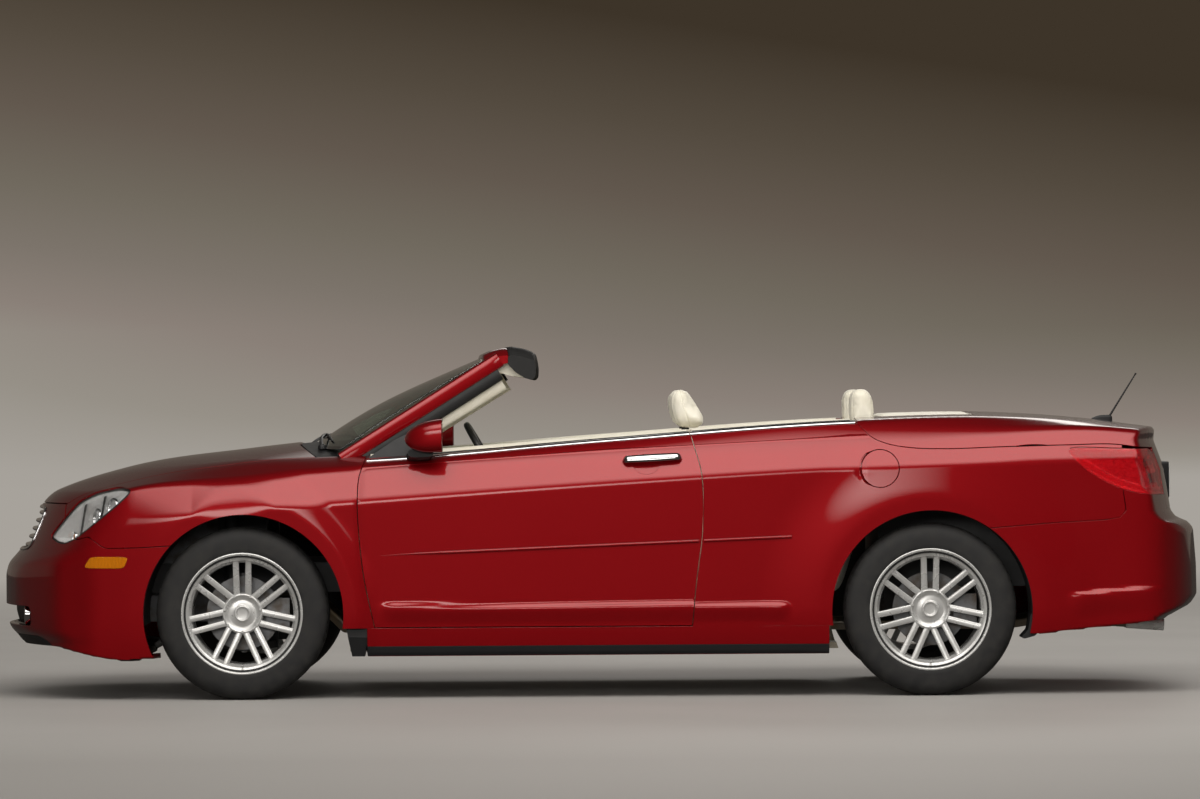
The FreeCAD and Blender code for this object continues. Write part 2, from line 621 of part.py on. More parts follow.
def make_windshield():
    outer = front_view(SCREEN_OUTER, -1400, 0)
    inner = front_view(SCREEN_INNER, -1400, 0)
    header = side_prism(HEADER, -560, 560)
    glass = screen_band(0, GLASS_DEPTH).common(inner).cut(body()).cut(header)
    frame = screen_band(0, FRAME_DEPTH).common(outer).cut(inner).fuse(header).cut(body())
    node("windshield_frame", biggest(frame))
    node("windshield_glass", biggest(glass))
    strips = []
    for start, end, z_start, z_end in ((-600, -60, 1062, 1075), (0, 540, 1072, 1066)):
        points = [(start, z_start), (end, z_end), (end, z_end + 14), (start, z_start + 14)]
        strips.append(front_prism(points, -1400, 0))
    blades = screen_band(-14, -0.5).common(Part.makeCompound(strips)).cut(body())
    node("wipers", blades)


# ---------------------------------------------------------------- cabin
def make_cabin():
    profile = (
        (-990, 560), (-990, 985), (-900, 990), (-720, 955), (-655, 900), (-690, 700), (-740, 560),
    )
    centre = vec(*WHEEL_CENTRE)
    tilt = math.radians(COLUMN_TILT_DEG)
    axis = vec(math.cos(tilt), 0, math.sin(tilt))

    def along(distance):
        return centre.add(vec(axis.x * distance, 0, axis.z * distance))

    column = rod(along(-330), along(-45), 42)
    dash = side_prism(profile, -698, 698).fuse(column)
    dash = dash.cut(rod(along(-140), along(-40), 12 + PIN_FIT))
    dash = dash.cut(NODES["cowl"]).cut(NODES["floor_pan"])
    node("dashboard", biggest(dash))

    rim = Part.makeTorus(STEERING_WHEEL_RADIUS - STEERING_RIM, STEERING_RIM, centre, axis)
    hub = rod(along(-38), along(14), 55)
    shaft = rod(along(-120), along(-30), 12)
    spokes = []
    for angle in (25, 155, 215, 325):
        spoke = Part.makeBox(STEERING_WHEEL_RADIUS - STEERING_RIM, 30, 14, vec(0, -15, -12))
        spoke.rotate(vec(0, 0, 0), vec(0, 0, 1), angle)
        spoke.rotate(vec(0, 0, 0), vec(0, 0, 1), -90)
        spoke.rotate(vec(0, 0, 0), vec(0, 1, 0), 90 - COLUMN_TILT_DEG)
        spoke.translate(centre)
        spokes.append(spoke)
    node("steering_wheel", biggest(joined([rim, hub, shaft] + spokes)))

    low = TUNNEL_TOP_Z
    console = side_prism([(-740, low), (-740, 600), (-620, 640), (-420, 560), (380, 560), (420, low)],
                         -105, 105)
    node("center_console", console.cut(NODES["dashboard"]))

    seat_y = WHEEL_CENTRE[1]
    half = 255.0
    base = block(-230, 120, seat_y - 190, seat_y + 190, 215.3, 330)
    cushion = side_prism(
        [(-330, 330), (-345, 440), (-310, 490), (160, 455), (200, 330)], seat_y - half, seat_y + half)
    back = side_prism(
        [(60, 330), (120, 470), (290, 1060), (330, 1085), (400, 1075), (415, 1040), (290, 330)],
        seat_y - half, seat_y + half)
    rest = side_prism(
        [(303, 1105), (298, 1194), (310, 1240), (335, 1247), (360, 1234), (400, 1152), (396, 1105)],
        seat_y - 125, seat_y + 125)
    post = rod(vec(352, seat_y - 60, 1060), vec(352, seat_y - 60, 1120), 7)
    other = rod(vec(352, seat_y + 60, 1060), vec(352, seat_y + 60, 1120), 7)
    node("front_seats", pair(biggest(joined([base, cushion, back, rest, post, other]))))

    cushion = block(530, 900, -600, 600, 380.3, 500)
    back = side_prism([(800, 380.3), (860, 500), (1010, 1085), (1129.7, 1085), (1129.7, 380.3)],
                      -600, 600)
    rests = []
    for y in (-350, 350):
        points = [(1028, 1085), (1026, 1230), (1095, 1242), (1120, 1205), (1129.7, 1126), (1129.7, 1085)]
        rests.append(side_prism(points, y - 140, y + 140))
    node("rear_seat", biggest(joined([cushion, back] + rests)))


# ---------------------------------------------------------------- running gear
def hub_point(x, w, z_offset=0.0, dx=0.0):
    """A point of the left wheel at axle x, w outboard of its middle plane."""
    return vec(x + dx, -(HALF_TRACK + w), AXLE_Z + z_offset)


def hub_rod(x, w_low, w_high, radius):
    return rod(hub_point(x, w_low), hub_point(x, w_high), radius)


def caliper(x):
    shape = block(x + 95, x + 188, -(HALF_TRACK + 35), -(HALF_TRACK - 45), AXLE_Z - 60, AXLE_Z + 60)
    shape = shape.cut(hub_rod(x, -24, 10, DISC_RADIUS + 6))
    bracket = block(x, x + 120, -(HALF_TRACK - 24), -(HALF_TRACK - 45), AXLE_Z - 30, AXLE_Z + 30)
    return shape.fuse(bracket)


def carrier(x):
    """The bearing housing, spindle and brake caliper of one wheel."""
    housing = hub_rod(x, -85, -24, 62)
    spindle = hub_rod(x, -30, 30, SPINDLE_RADIUS)
    return joined([housing, spindle, caliper(x)])


def make_running_gear():
    x = FRONT_AXLE_X
    top = vec(x, -KINGPIN_Y, AXLE_Z + PIN_REACH)
    bottom = vec(x, -KINGPIN_Y, AXLE_Z - PIN_REACH)
    knuckle = carrier(x).fuse(rod(bottom, top, PIN_RADIUS))
    knuckle = knuckle.cut(hub_rod(x, -18, 200, SPINDLE_RADIUS).cut(hub_rod(x, -30, 30, SPINDLE_RADIUS)))
    node("knuckle_left", biggest(knuckle))
    node("knuckle_right", mirrored(biggest(knuckle)))

    cross = block(x - 120, x + 120, -420, 420, 250, 300)
    low = AXLE_Z - ARM_TOP
    high = AXLE_Z + ARM_TOP - ARM_THICKNESS
    arm = plan_prism([(x - 30, -KINGPIN_Y), (x + 30, -KINGPIN_Y), (x + 120, -400), (x - 120, -400)],
                     low, low + ARM_THICKNESS)
    drop = block(x - 120, x + 120, -430, -400, low, 260)
    upper = block(x - 25, x + 25, -KINGPIN_Y, -480, high, high + ARM_THICKNESS)
    eyes = []
    for z in (low, high):
        eyes.append(Part.makeCylinder(30, ARM_THICKNESS, vec(x, -KINGPIN_Y, z), vec(0, 0, 1)))
    damper = rod(vec(x - 60, -560, low + ARM_THICKNESS), vec(x - 60, -560, 860), 28)
    side = joined([arm, drop, upper, damper] + eyes)
    bore = Part.makeCylinder(PIN_RADIUS + PIN_FIT, 400, vec(x, -KINGPIN_Y, AXLE_Z - 200), vec(0, 0, 1))
    side = side.cut(bore)
    rack = rod(vec(x + 150, -400, 300), vec(x + 150, 400, 300), 24)
    bracket = block(x + 110, x + 160, -300, 300, 262, 290)
    node("front_suspension", biggest(joined([cross, side, mirrored(side), bracket, rack])))

    x = REAR_AXLE_X
    arm = block(x - 35, x + 35, -(HALF_TRACK - 80), -440, AXLE_Z - 25, AXLE_Z + 25)
    cross = block(x - 60, x + 60, -480, 480, 300, 372)
    damper = rod(vec(x, -560, AXLE_Z), vec(x, -560, 430), 35)
    side = joined([carrier(x), arm, damper])
    node("rear_suspension", biggest(joined([cross, side, mirrored(side)])))

    pipe = []
    route = (vec(ENGINE_REAR_X, 0, 400), vec(-1200, 0, 400), vec(-1060, 0, 262),
             vec(1700, 0, 262), vec(1900, -180, 300))
    for start, end in zip(route[:-1], route[1:]):
        pipe.append(rod(start, end, 28))
    for bend in route[1:-1]:
        pipe.append(Part.makeSphere(28, bend))
    silencer = block(1850, 2110, -570, -110, 262, 400)
    hangers = [rod(vec(1980, y, 395), vec(1980, y, 430), 9) for y in (-540, -200)]
    tips = []
    for y in EXHAUST_TIP_Y:
        tips.append(rod(vec(2100, y, 280), vec(2290, y, 268), 20))
    exhaust = joined(pipe + [silencer] + hangers + tips)
    node("exhaust", biggest(exhaust))


def make_wheel():
    """The left front wheel's rim, tyre and brake disc, about its own middle at the origin."""
    y_axis = vec(0, 1, 0)

    def ring(w_low, w_high, outer, inner):
        start = vec(0, -w_high, 0)
        shape = Part.makeCylinder(outer, w_high - w_low, start, y_axis)
        if inner:
            shape = shape.cut(Part.makeCylinder(inner, w_high - w_low, start, y_axis))
        return shape

    edge = RIM_HALF_WIDTH
    parts = [ring(-edge + 4, edge - 4, RIM_SEAT_RADIUS, RIM_BORE_RADIUS)]
    parts.append(ring(edge - 10, edge, RIM_FLANGE_RADIUS, RIM_BORE_RADIUS))
    parts.append(ring(-edge, 10 - edge, RIM_FLANGE_RADIUS, RIM_BORE_RADIUS))
    parts.append(ring(RIM_OFFSET, 88, HUB_RADIUS, 0))
    for i in range(SPOKE_PAIRS):
        for offset in (-SPOKE_PITCH / 2, SPOKE_PITCH / 2):
            low = vec(offset - SPOKE_WIDTH / 2, -86, 50)
            spoke = Part.makeBox(SPOKE_WIDTH, 32, RIM_BORE_RADIUS - 45, low)
            spoke.rotate(vec(0, 0, 0), y_axis, 360.0 * i / SPOKE_PAIRS)
            parts.append(spoke)
    rim = joined(parts)
    for i in range(BOLT_HOLES):
        angle = 2 * math.pi * i / BOLT_HOLES
        x = BOLT_CIRCLE / 2 * math.sin(angle)
        z = BOLT_CIRCLE / 2 * math.cos(angle)
        start = vec(x, -(RIM_OFFSET + 30), z)
        rim = rim.cut(Part.makeCylinder(BOLT_HOLE_RADIUS, 40, start, y_axis))

    half = TYRE_WIDTH / 2
    section = (
        (RIM_SEAT_RADIUS, 92), (RIM_FLANGE_RADIUS, 92), (RIM_FLANGE_RADIUS + 6, half - 3.5),
        (290, half), (TYRE_RADIUS - 17, half - 4.5), (TYRE_RADIUS, half - 20),
    )
    points = list(section) + [(r, -w) for r, w in reversed(section)]
    face = Part.Face(outline(points, lambda r, w: vec(r, w, 0)))
    tyre = face.revolve(vec(0, 0, 0), y_axis, 360)

    disc = joined([ring(-18, 4, DISC_RADIUS, 0), ring(-18, RIM_OFFSET, HUB_RADIUS - 2, 0)])
    bore = ring(-20, 32, SPINDLE_RADIUS + PIN_FIT, 0)
    return rim, tyre, disc.cut(bore)


def make_wheels():
    shapes = make_wheel()
    for end, x in (("front", FRONT_AXLE_X), ("rear", REAR_AXLE_X)):
        for side in ("left", "right"):
            for name, shape in zip(("rim", "tyre", "brake_disc"), shapes):
                placed = shape.copy()
                placed.translate(vec(x, -HALF_TRACK, AXLE_Z))
                if side == "right":
                    placed = mirrored(placed)
                node(name + "_" + end + "_" + side, placed)


if __name__ == "__main__":
    os.makedirs("parts", exist_ok=True)
    make_front()
    make_rear()
    make_sides()
    make_running_gear()
    make_structure()
    make_windshield()
    make_cabin()
    make_wheels()
    for name, shape in NODES.items():
        shape.exportStep("parts/" + name + ".step")
        print(name, len(shape.Solids), round(shape.Volume / 1e6, 2), shape.isValid())
    print(len(NODES), "nodes")
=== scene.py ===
# %% [markdown]
# # An open convertible, from its steel panels to the stitching of its seats
#
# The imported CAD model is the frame: it gives every hinge, wheel and seat its place. This file
# adds the looks around it. Lengths are worked out in millimetres, because car drawings are, and
# become metres when a mesh is made.

# %% Frame and units
import math

import bpy
import numpy as np
from mathutils import Matrix, Vector


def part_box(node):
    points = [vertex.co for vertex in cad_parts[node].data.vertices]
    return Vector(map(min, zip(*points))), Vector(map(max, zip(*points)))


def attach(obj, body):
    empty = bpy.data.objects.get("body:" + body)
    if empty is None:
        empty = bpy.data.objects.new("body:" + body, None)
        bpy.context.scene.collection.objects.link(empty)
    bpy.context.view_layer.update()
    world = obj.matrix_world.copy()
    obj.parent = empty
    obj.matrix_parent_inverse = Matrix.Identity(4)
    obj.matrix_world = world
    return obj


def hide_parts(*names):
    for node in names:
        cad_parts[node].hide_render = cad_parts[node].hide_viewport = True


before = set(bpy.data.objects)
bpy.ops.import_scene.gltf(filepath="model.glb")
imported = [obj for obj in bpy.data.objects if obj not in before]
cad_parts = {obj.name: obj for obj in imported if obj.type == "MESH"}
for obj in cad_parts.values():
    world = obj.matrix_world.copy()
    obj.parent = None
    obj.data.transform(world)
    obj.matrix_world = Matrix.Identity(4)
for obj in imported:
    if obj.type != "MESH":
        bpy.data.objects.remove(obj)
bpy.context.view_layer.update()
MM = 0.001


def box_mm(node):
    """The lowest and highest corner of a CAD node, in millimetres."""
    low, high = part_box(node)
    return np.array(low) / MM, np.array(high) / MM


front_low, front_high = box_mm("tyre_front_left")
rear_low, rear_high = box_mm("tyre_rear_left")
TYRE_R = (front_high[2] - front_low[2]) / 2
FRONT_X = (front_low[0] + front_high[0]) / 2
REAR_X = (rear_low[0] + rear_high[0]) / 2
WHEEL_Y = -(front_low[1] + front_high[1]) / 2
AXLE_Z = (front_low[2] + front_high[2]) / 2
print("wheelbase", round(REAR_X - FRONT_X), "mm, tyre", round(2 * TYRE_R), "mm")

# %% [markdown]
# ## From arrays to meshes
#
# A surface is worked out as a whole array of points. A grid turns into quads by joining each
# point to its neighbours, so no loop over vertices is needed. The same few helpers serve every
# piece: one makes the mesh, one puts it on its body, one mirrors it to the other side.

# %% Mesh helpers
def linked(name, data):
    """A new object in the scene that holds the data."""
    piece = bpy.data.objects.new(name, data)
    bpy.context.scene.collection.objects.link(piece)
    return piece


def make_object(name, points, faces):
    """A smooth mesh object from points in millimetres and faces as index rows."""
    points = np.asarray(points, float).reshape(-1, 3) * MM
    mesh = bpy.data.meshes.new(name)
    mesh.from_pydata(points.tolist(), [], [list(map(int, face)) for face in faces])
    mesh.polygons.foreach_set("use_smooth", np.ones(len(mesh.polygons), bool))
    mesh.update()
    return linked(name, mesh)


def grid_faces(rows, columns, wrap_rows=False, wrap_columns=False):
    """Quads that join each point (i, j) of a grid to (i + 1, j), (i + 1, j + 1) and (i, j + 1)."""
    i = np.arange(rows if wrap_rows else rows - 1)
    j = np.arange(columns if wrap_columns else columns - 1)
    i, j = np.meshgrid(i, j, indexing="ij")
    i_next, j_next = (i + 1) % rows, (j + 1) % columns
    quads = [i * columns + j, i_next * columns + j, i_next * columns + j_next,
             i * columns + j_next]
    return np.stack(quads, -1).reshape(-1, 4)


def grid_object(name, points, wrap_rows=False, wrap_columns=False, flip=False):
    """A grid of points, rows by columns by 3, as one smooth surface."""
    faces = grid_faces(points.shape[0], points.shape[1], wrap_rows, wrap_columns)
    return make_object(name, points, faces[:, ::-1] if flip else faces)


def join_meshes(parts):
    """Several (points, faces) pairs as one pair."""
    points, faces, start = [], [], 0
    for part_points, part_faces in parts:
        part_points = np.asarray(part_points, float).reshape(-1, 3)
        points.append(part_points)
        faces += [tuple(int(k) + start for k in face) for face in np.asarray(part_faces)]
        start += len(part_points)
    return np.concatenate(points), faces


def apply_modifiers(piece):
    """Replaces the piece's mesh by what its modifiers make of it."""
    graph = bpy.context.evaluated_depsgraph_get()
    graph.update()
    mesh = bpy.data.meshes.new_from_object(piece.evaluated_get(graph))
    mesh.name = piece.name
    piece.modifiers.clear()
    piece.data = mesh


def settle(piece, material, body="car_body", replaces=(), slot=None):
    """Puts a finished piece on its CAD body, in its material. The slot argument is not used."""
    piece.data.materials.clear()
    piece.data.materials.append(material)
    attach(piece, body)
    if replaces:
        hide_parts(*replaces)
    return piece


def vertices(piece):
    """The piece's points in metres."""
    points = np.empty(len(piece.data.vertices) * 3)
    piece.data.vertices.foreach_get("co", points)
    return points.reshape(-1, 3)


def move_vertices(piece, points):
    piece.data.vertices.foreach_set("co", points.ravel())


def xyz(x, y, z):
    """Points from three coordinates, each an array or one number for all."""
    return np.stack(np.broadcast_arrays(x, y, z), -1)


def mirrored(points):
    """The same points on the car's other side."""
    return np.asarray(points, float) * (1, -1, 1)


def around(count):
    """Angles that go once round, without the last, which would meet the first."""
    return np.linspace(0, 2 * np.pi, count, endpoint=False)


def power(value, exponent):
    """A power of the value's size, with its sign kept: it squares the form of a circle."""
    return np.sign(value) * np.abs(value) ** exponent


def on_side(points, side):
    """Points of the left side as they are for side 0, and mirrored to the right for side 1."""
    return mirrored(points) if side else np.asarray(points, float)


def report(step):
    """Prints how much the file has made by the end of a step."""
    print(f"{step}: {len(bpy.data.meshes)} meshes, {len(bpy.data.materials)} finishes so far")


SIDES = (("left", 0), ("right", 1))
SIGN = (-1, 1)            # sign of y on each side
report("mesh helpers")

# %% [markdown]
# ## Curves
#
# A shut line or a crease is given by a few points and a smooth curve through them. A cubic with
# one slope at each point (a Catmull-Rom curve) passes through all of them without corners. Where
# straight lines should only be rounded a little, a moving average does it.

# %% Curves through points
def smooth_curve(at, knots, values):
    """A cubic through the knots: each knot's slope is that of the line between its neighbours."""
    knots, values = np.asarray(knots, float), np.asarray(values, float)
    slopes = np.gradient(values, knots)
    at = np.clip(at, knots[0], knots[-1])
    k = np.clip(np.searchsorted(knots, at) - 1, 0, len(knots) - 2)
    width = knots[k + 1] - knots[k]
    t = (at - knots[k]) / width
    return ((1 + 2 * t) * (1 - t) ** 2 * values[k] + t * (1 - t) ** 2 * width * slopes[k]
            + t ** 2 * (3 - 2 * t) * values[k + 1] - t ** 2 * (1 - t) * width * slopes[k + 1])


def rounded_table(knots, values, reach):
    """Straight lines through the knots, averaged over a length of reach to round the corners."""
    step = 2.0
    at = np.arange(knots[0], knots[-1] + step, step)
    line = np.interp(at, knots, values)
    count = max(3, int(reach / step) | 1)
    window = np.hanning(count + 2)[1:-1]
    padded = np.pad(line, count // 2, mode="edge")
    return at, np.convolve(padded, window / window.sum(), mode="valid")


def smooth_step(value, low, high):
    """0 below low, 1 above high, and an S-curve between."""
    t = np.clip((value - low) / (high - low), 0, 1)
    return t * t * (3 - 2 * t)


report("curves through points")

# %% [markdown]
# ## The body's outer surface
#
# The panels of a car are cut from one smooth shape, so that light runs over the gaps without a
# step. Here that shape is a function: it is negative inside the car, positive outside and zero
# on the skin. Each station along the car has a section of straight lines: rocker, door, shoulder,
# belt, and a crowned top. A soft maximum joins the lines with a small radius. The nose and the
# tail are profiles turned about upright axes, and the plan view trims the corners.
#
# Two details are added to the sides: the wheel arches swell outwards, and the lower door steps
# out over a narrow ledge that catches the light.

# %% The envelope of the body
# Columns: station x, half-width at the bottom and at the rocker's top, half-width and height of
# the side crease, of the shoulder and of the belt, and height on the centre line.
SECTIONS = np.array((
    (-2480, 850, 880, 885, 600, 838, 688, 600, 706, 715),
    (-2235, 850, 882, 890, 655, 848, 752, 610, 788, 842),
    (-1960, 855, 886, 898, 705, 856, 838, 660, 872, 928),
    (-1440, 860, 890, 908, 762, 858, 893, 718, 953, 1004),
    (-950, 862, 893, 908, 797, 856, 930, 780, 964, 1052),
    (0, 862, 893, 908, 862, 852, 993, 798, 1036, 1090),
    (1010, 862, 893, 908, 918, 850, 1043, 792, 1104, 1128),
    (1530, 858, 890, 908, 934, 848, 1062, 770, 1116, 1136),
    (2000, 850, 882, 895, 945, 835, 1072, 730, 1092, 1106),
    (2290, 840, 870, 880, 948, 815, 1050, 700, 1061, 1068),
    (2480, 830, 860, 870, 948, 800, 1036, 680, 1045, 1050),
), float)
STATION_X = np.arange(-2480, 2481, 8.0)
STATION = [smooth_curve(STATION_X, SECTIONS[:, 0], SECTIONS[:, k]) for k in range(1, 10)]
BOTTOM_Z, ROCKER_Z = 145.0, 285.0

NOSE_AXIS_X, TAIL_AXIS_X = -1063.0, -537.0
NOSE = rounded_table(
    (100, 232, 275, 340, 496, 541, 606, 776, 830, 1400),
    (-2404, -2404, -2446, -2463, -2463, -2451, -2393, -2318, -2296, -2290), 44)
TAIL = rounded_table(
    (100, 305, 346, 385, 510, 655, 683, 698, 730, 798, 903, 1022, 1046, 1400),
    (2360, 2360, 2437, 2463, 2461, 2450, 2427, 2382, 2358, 2348, 2332, 2288, 2294, 2294), 22)
PLAN = rounded_table(
    (-2600, -2500, -2372, -2276, -2200, -2050, -1850, -1500, 1700, 1900, 2112, 2180, 2260, 2335,
     2398, 2500, 2600),
    (0, 300, 520, 665, 770, 856, 905, 1000, 1000, 945, 918, 902, 852, 778, 652, 400, 0), 130)
FLOOR_LINE = rounded_table(
    (-2600, -2404, -2336, -2190, -2020, -1864, -1840, 1700, 1762, 2180, 2360, 2600),
    (232, 232, 209, 214, 176, 153, 172, 172, 247, 290, 305, 305), 30)
ARCH_R, ARCH_DX, ARCH_DZ = 403.0, 6.0, -4.0
ARCH_BAND = 46.0          # flat band around each arch
SWELL = 20.0              # how far the arches stand out
SKIN_PROUD = 3.5          # the finished skin covers the plain CAD panels by this much


def soft_max(a, b, reach):
    """The larger of two values, with the corner where they meet rounded over reach."""
    return np.maximum(a, b) + np.maximum(reach - np.abs(a - b), 0) ** 2 / (4 * reach)


def beyond_line(y, z, start, end):
    """Distance outside the line from start to end, which runs up the section."""
    dy, dz = end[0] - start[0], end[1] - start[1]
    return ((y - start[0]) * dz - (z - start[1]) * dy) / np.hypot(dy, dz)


def station(x):
    return [np.interp(x, STATION_X, column) for column in STATION]


def arch_distance(x, z):
    """Distance from the nearer wheel arch's centre, in side view."""
    centre = np.where(x < 0, FRONT_X, REAR_X) + ARCH_DX
    return np.hypot(x - centre, z - (AXLE_Z + ARCH_DZ))


def arch_swell(x, z):
    """A flat band round the arch, then a slope back to the body, shorter towards the door."""
    reach = 270.0 - 160.0 * smooth_step(x, FRONT_X, FRONT_X + 420) * (x < 0)
    t = np.clip((arch_distance(x, z) - ARCH_R - ARCH_BAND) / reach, 0, 1)
    return SWELL * (1 - t ** 1.5) ** 2.2


def ledge(x, z, level, front, rear, depth, drop=70.0, face=17.0):
    """A step out below a level, which fades back over drop and at its front and rear ends."""
    along = smooth_step(x, front, front + 90) * (1 - smooth_step(x, rear - 60, rear))
    across = smooth_step(level - z, 0, face) * (1 - smooth_step(level - z, face, drop))
    return depth * along * across


def side_details(x, z):
    rear_crease = np.interp(x, (1870, 2130, 2370), (415, 436, 444))
    return (arch_swell(x, z)
            + ledge(x, z, 386.0, -905.0, 775.0, 11.0, 90.0, 20.0)
            + ledge(x, z, rear_crease, 1860.0, 2600.0, 12.0, 120.0, 22.0))


def envelope(p):
    """Below zero inside the car and above zero outside. Close to a distance near the skin."""
    x, y, z = p[..., 0], np.abs(p[..., 1]), p[..., 2]
    low, rocker, crease, crease_z, shoulder, shoulder_z, top, top_z, middle_z = station(x)
    near_arch = (ARCH_R + ARCH_BAND) ** 2 - (x - FRONT_X - ARCH_DX) ** 2
    round_arch = AXLE_Z + ARCH_DZ + np.sqrt(np.maximum(near_arch, 0))
    raised = np.maximum(np.minimum(round_arch, 800) * (near_arch > 0) - crease_z, 0)
    crease_z = crease_z + raised
    soft = 8.0 + 52.0 * smooth_step(raised, 0, 50)
    side = soft_max(
        beyond_line(y, z, (low, BOTTOM_Z), (rocker, ROCKER_Z)),
        beyond_line(y, z, (rocker, ROCKER_Z), (crease, crease_z)), 16.0)
    side = soft_max(side, beyond_line(y, z, (crease, crease_z), (shoulder, shoulder_z)), soft)
    side = side - side_details(x, z) * smooth_step(y, 500, 700)
    side = soft_max(side, beyond_line(y, z, (shoulder, shoulder_z), (top, top_z)), 22.0)
    rise = middle_z - top_z
    radius = (top ** 2 + rise ** 2) / (2 * rise)
    crown = np.hypot(y, z - middle_z + radius) - radius
    skin = soft_max(side, crown, 16.0)
    nose = np.hypot(np.minimum(x - NOSE_AXIS_X, 0), y) - NOSE_AXIS_X + np.interp(z, *NOSE)
    tail = np.hypot(np.maximum(x - TAIL_AXIS_X, 0), y) + TAIL_AXIS_X - np.interp(z, *TAIL)
    skin = soft_max(skin, nose, 55.0)
    skin = soft_max(skin, y - np.interp(x, *PLAN), 40.0)
    skin = soft_max(skin, tail, 22.0)
    return soft_max(skin, np.interp(x, *FLOOR_LINE) - z, 10.0) - SKIN_PROUD


def cast(start, direction, reach=1900.0):
    """Where rays from inside the car meet its skin, by halving the distance 22 times."""
    direction = direction / np.linalg.norm(direction, axis=-1, keepdims=True)
    near, far = np.zeros(start.shape[:-1]), np.full(start.shape[:-1], reach)
    for _ in range(22):
        middle = (near + far) / 2
        inside = envelope(start + middle[..., None] * direction) < 0
        near, far = np.where(inside, middle, near), np.where(inside, far, middle)
    return start + near[..., None] * direction


def skin_normal(p):
    """The slope of the envelope at each point, from differences over 1.5 mm either way."""
    slope = np.empty_like(p)
    for axis in range(3):
        step = np.zeros(3)
        step[axis] = 1.5
        slope[..., axis] = envelope(p + step) - envelope(p - step)
    return slope / np.linalg.norm(slope, axis=-1, keepdims=True)


report("the envelope of the body")

# %% [markdown]
# ## Charts
#
# A chart is a grid of rays that covers one region of the skin. Along the sides its rows follow
# the section's own lines, so the crease is a row of the mesh and stays crisp. Nose and tail use
# rays that fan out from an upright line, and the tops use rays that fan up and out.

# %% Charts of rays
def side_chart(x_low, x_high, columns, rows=(4, 12, 40, 12, 8, 10), top_share=0.55):
    """Rows run along the car and follow rocker, crease, shoulder and belt; the left side is -y."""
    x = np.linspace(x_low, x_high, columns)
    low, rocker, crease, crease_z, shoulder, shoulder_z, top, top_z, middle_z = station(x)
    inner = top * top_share
    inner_z = top_z + (middle_z - top_z) * (1 - top_share ** 2)
    floor = np.full_like(x, BOTTOM_Z)
    lines = [(low * 0.94, floor), (low, floor), (rocker, floor + ROCKER_Z - BOTTOM_Z),
             (crease, crease_z), (shoulder, shoulder_z), (top, top_z), (inner, inner_z)]
    y, z = [], []
    for k in range(len(rows)):
        t = (0.5 - 0.5 * np.cos(np.pi * np.arange(rows[k]) / rows[k]))[:, None]
        y.append(lines[k][0] * (1 - t) + lines[k + 1][0] * t)
        z.append(lines[k][1] * (1 - t) + lines[k + 1][1] * t)
    y, z = np.concatenate(y), np.concatenate(z)
    target = xyz(x, -y, z)
    start = target * (1, 0, 0) + (0, 0, 560)
    return cast(start, target - start)


def end_chart(axis_x, z_low, z_high, rows, half_angle, columns, towards):
    """Level rays that fan out from an upright line: towards -1 for the nose, +1 for the tail."""
    z = np.linspace(z_low, z_high, rows)
    angle = np.radians(np.linspace(-half_angle, half_angle, columns))
    z, angle = np.meshgrid(z, angle, indexing="ij")
    return cast(xyz(axis_x, 0.0, z), xyz(towards * np.cos(angle), np.sin(angle), 0.0))


def top_chart(x_low, x_high, columns, half_width, rows):
    """Rays that rise from the middle plane to points spread over the top."""
    x = np.linspace(x_low, x_high, columns)
    y = np.linspace(-half_width, half_width, rows)
    x, y = np.meshgrid(x, y, indexing="ij")
    top, top_z, middle_z = station(x)[6:9]
    z = middle_z - (middle_z - top_z) * (y / top) ** 2
    start = xyz(x * 0.86, 0.0, 400.0)
    return cast(start, xyz(x, y, z) - start)


def fan_chart(origin, angles, columns, slopes, rows):
    """Rays from a point: angles turn from tail to nose over the top, slopes lean to the sides."""
    turn = np.radians(np.linspace(*angles, columns))
    turn, lean = np.meshgrid(turn, np.linspace(*slopes, rows), indexing="ij")
    start = np.broadcast_to(np.array(origin, float), turn.shape + (3,))
    return cast(start, xyz(np.cos(turn), lean, np.sin(turn)))


report("charts of rays")

# %% [markdown]
# ## Cutting panels
#
# A shut line is a function too: below zero on the side that stays. Each triangle that the line
# crosses is cut where the function reaches zero, so the edge is a clean curve and not a
# staircase. The cut sheet then gets a rim and an inner face, like folded sheet steel, and the
# normals come from the envelope itself, so no facet shows in the reflections.

# %% Cutting and folding sheets
def cut_sheet(points, triangles, value):
    """Keeps the part of a triangle mesh where value, given at each point, is below zero."""
    value = np.where(np.abs(value) < 1e-3, -1e-3, value)
    inside = value < 0
    count = inside[triangles].sum(1)
    kept = [triangles[count == 3]]
    mixed = triangles[(count == 1) | (count == 2)]
    flag = inside[mixed]
    odd = np.where(flag.sum(1) == 1, flag.argmax(1), (~flag).argmax(1))
    turn = (odd[:, None] + np.arange(3)) % 3
    mixed = np.take_along_axis(mixed, turn, 1)
    alone_inside = inside[mixed[:, 0]]
    edges = np.concatenate([mixed[:, [0, 1]], mixed[:, [0, 2]]])
    keys, where = np.unique(np.sort(edges, 1), axis=0, return_inverse=True)
    where = where.ravel()
    a, b = keys[:, 0], keys[:, 1]
    share = (value[a] / (value[a] - value[b]))[:, None]
    new_points = points[a] * (1 - share) + points[b] * share
    first = where[:len(mixed)] + len(points)
    second = where[len(mixed):] + len(points)
    kept.append(np.stack([mixed[:, 0], first, second], 1)[alone_inside])
    rest = ~alone_inside
    kept.append(np.stack([first, mixed[:, 1], mixed[:, 2]], 1)[rest])
    kept.append(np.stack([first, mixed[:, 2], second], 1)[rest])
    return packed(np.concatenate([points, new_points]), np.concatenate(kept))


def packed(points, triangles):
    """Leaves out the points that no triangle uses."""
    used, triangles = np.unique(triangles, return_inverse=True)
    return points[used], triangles.reshape(-1, 3)


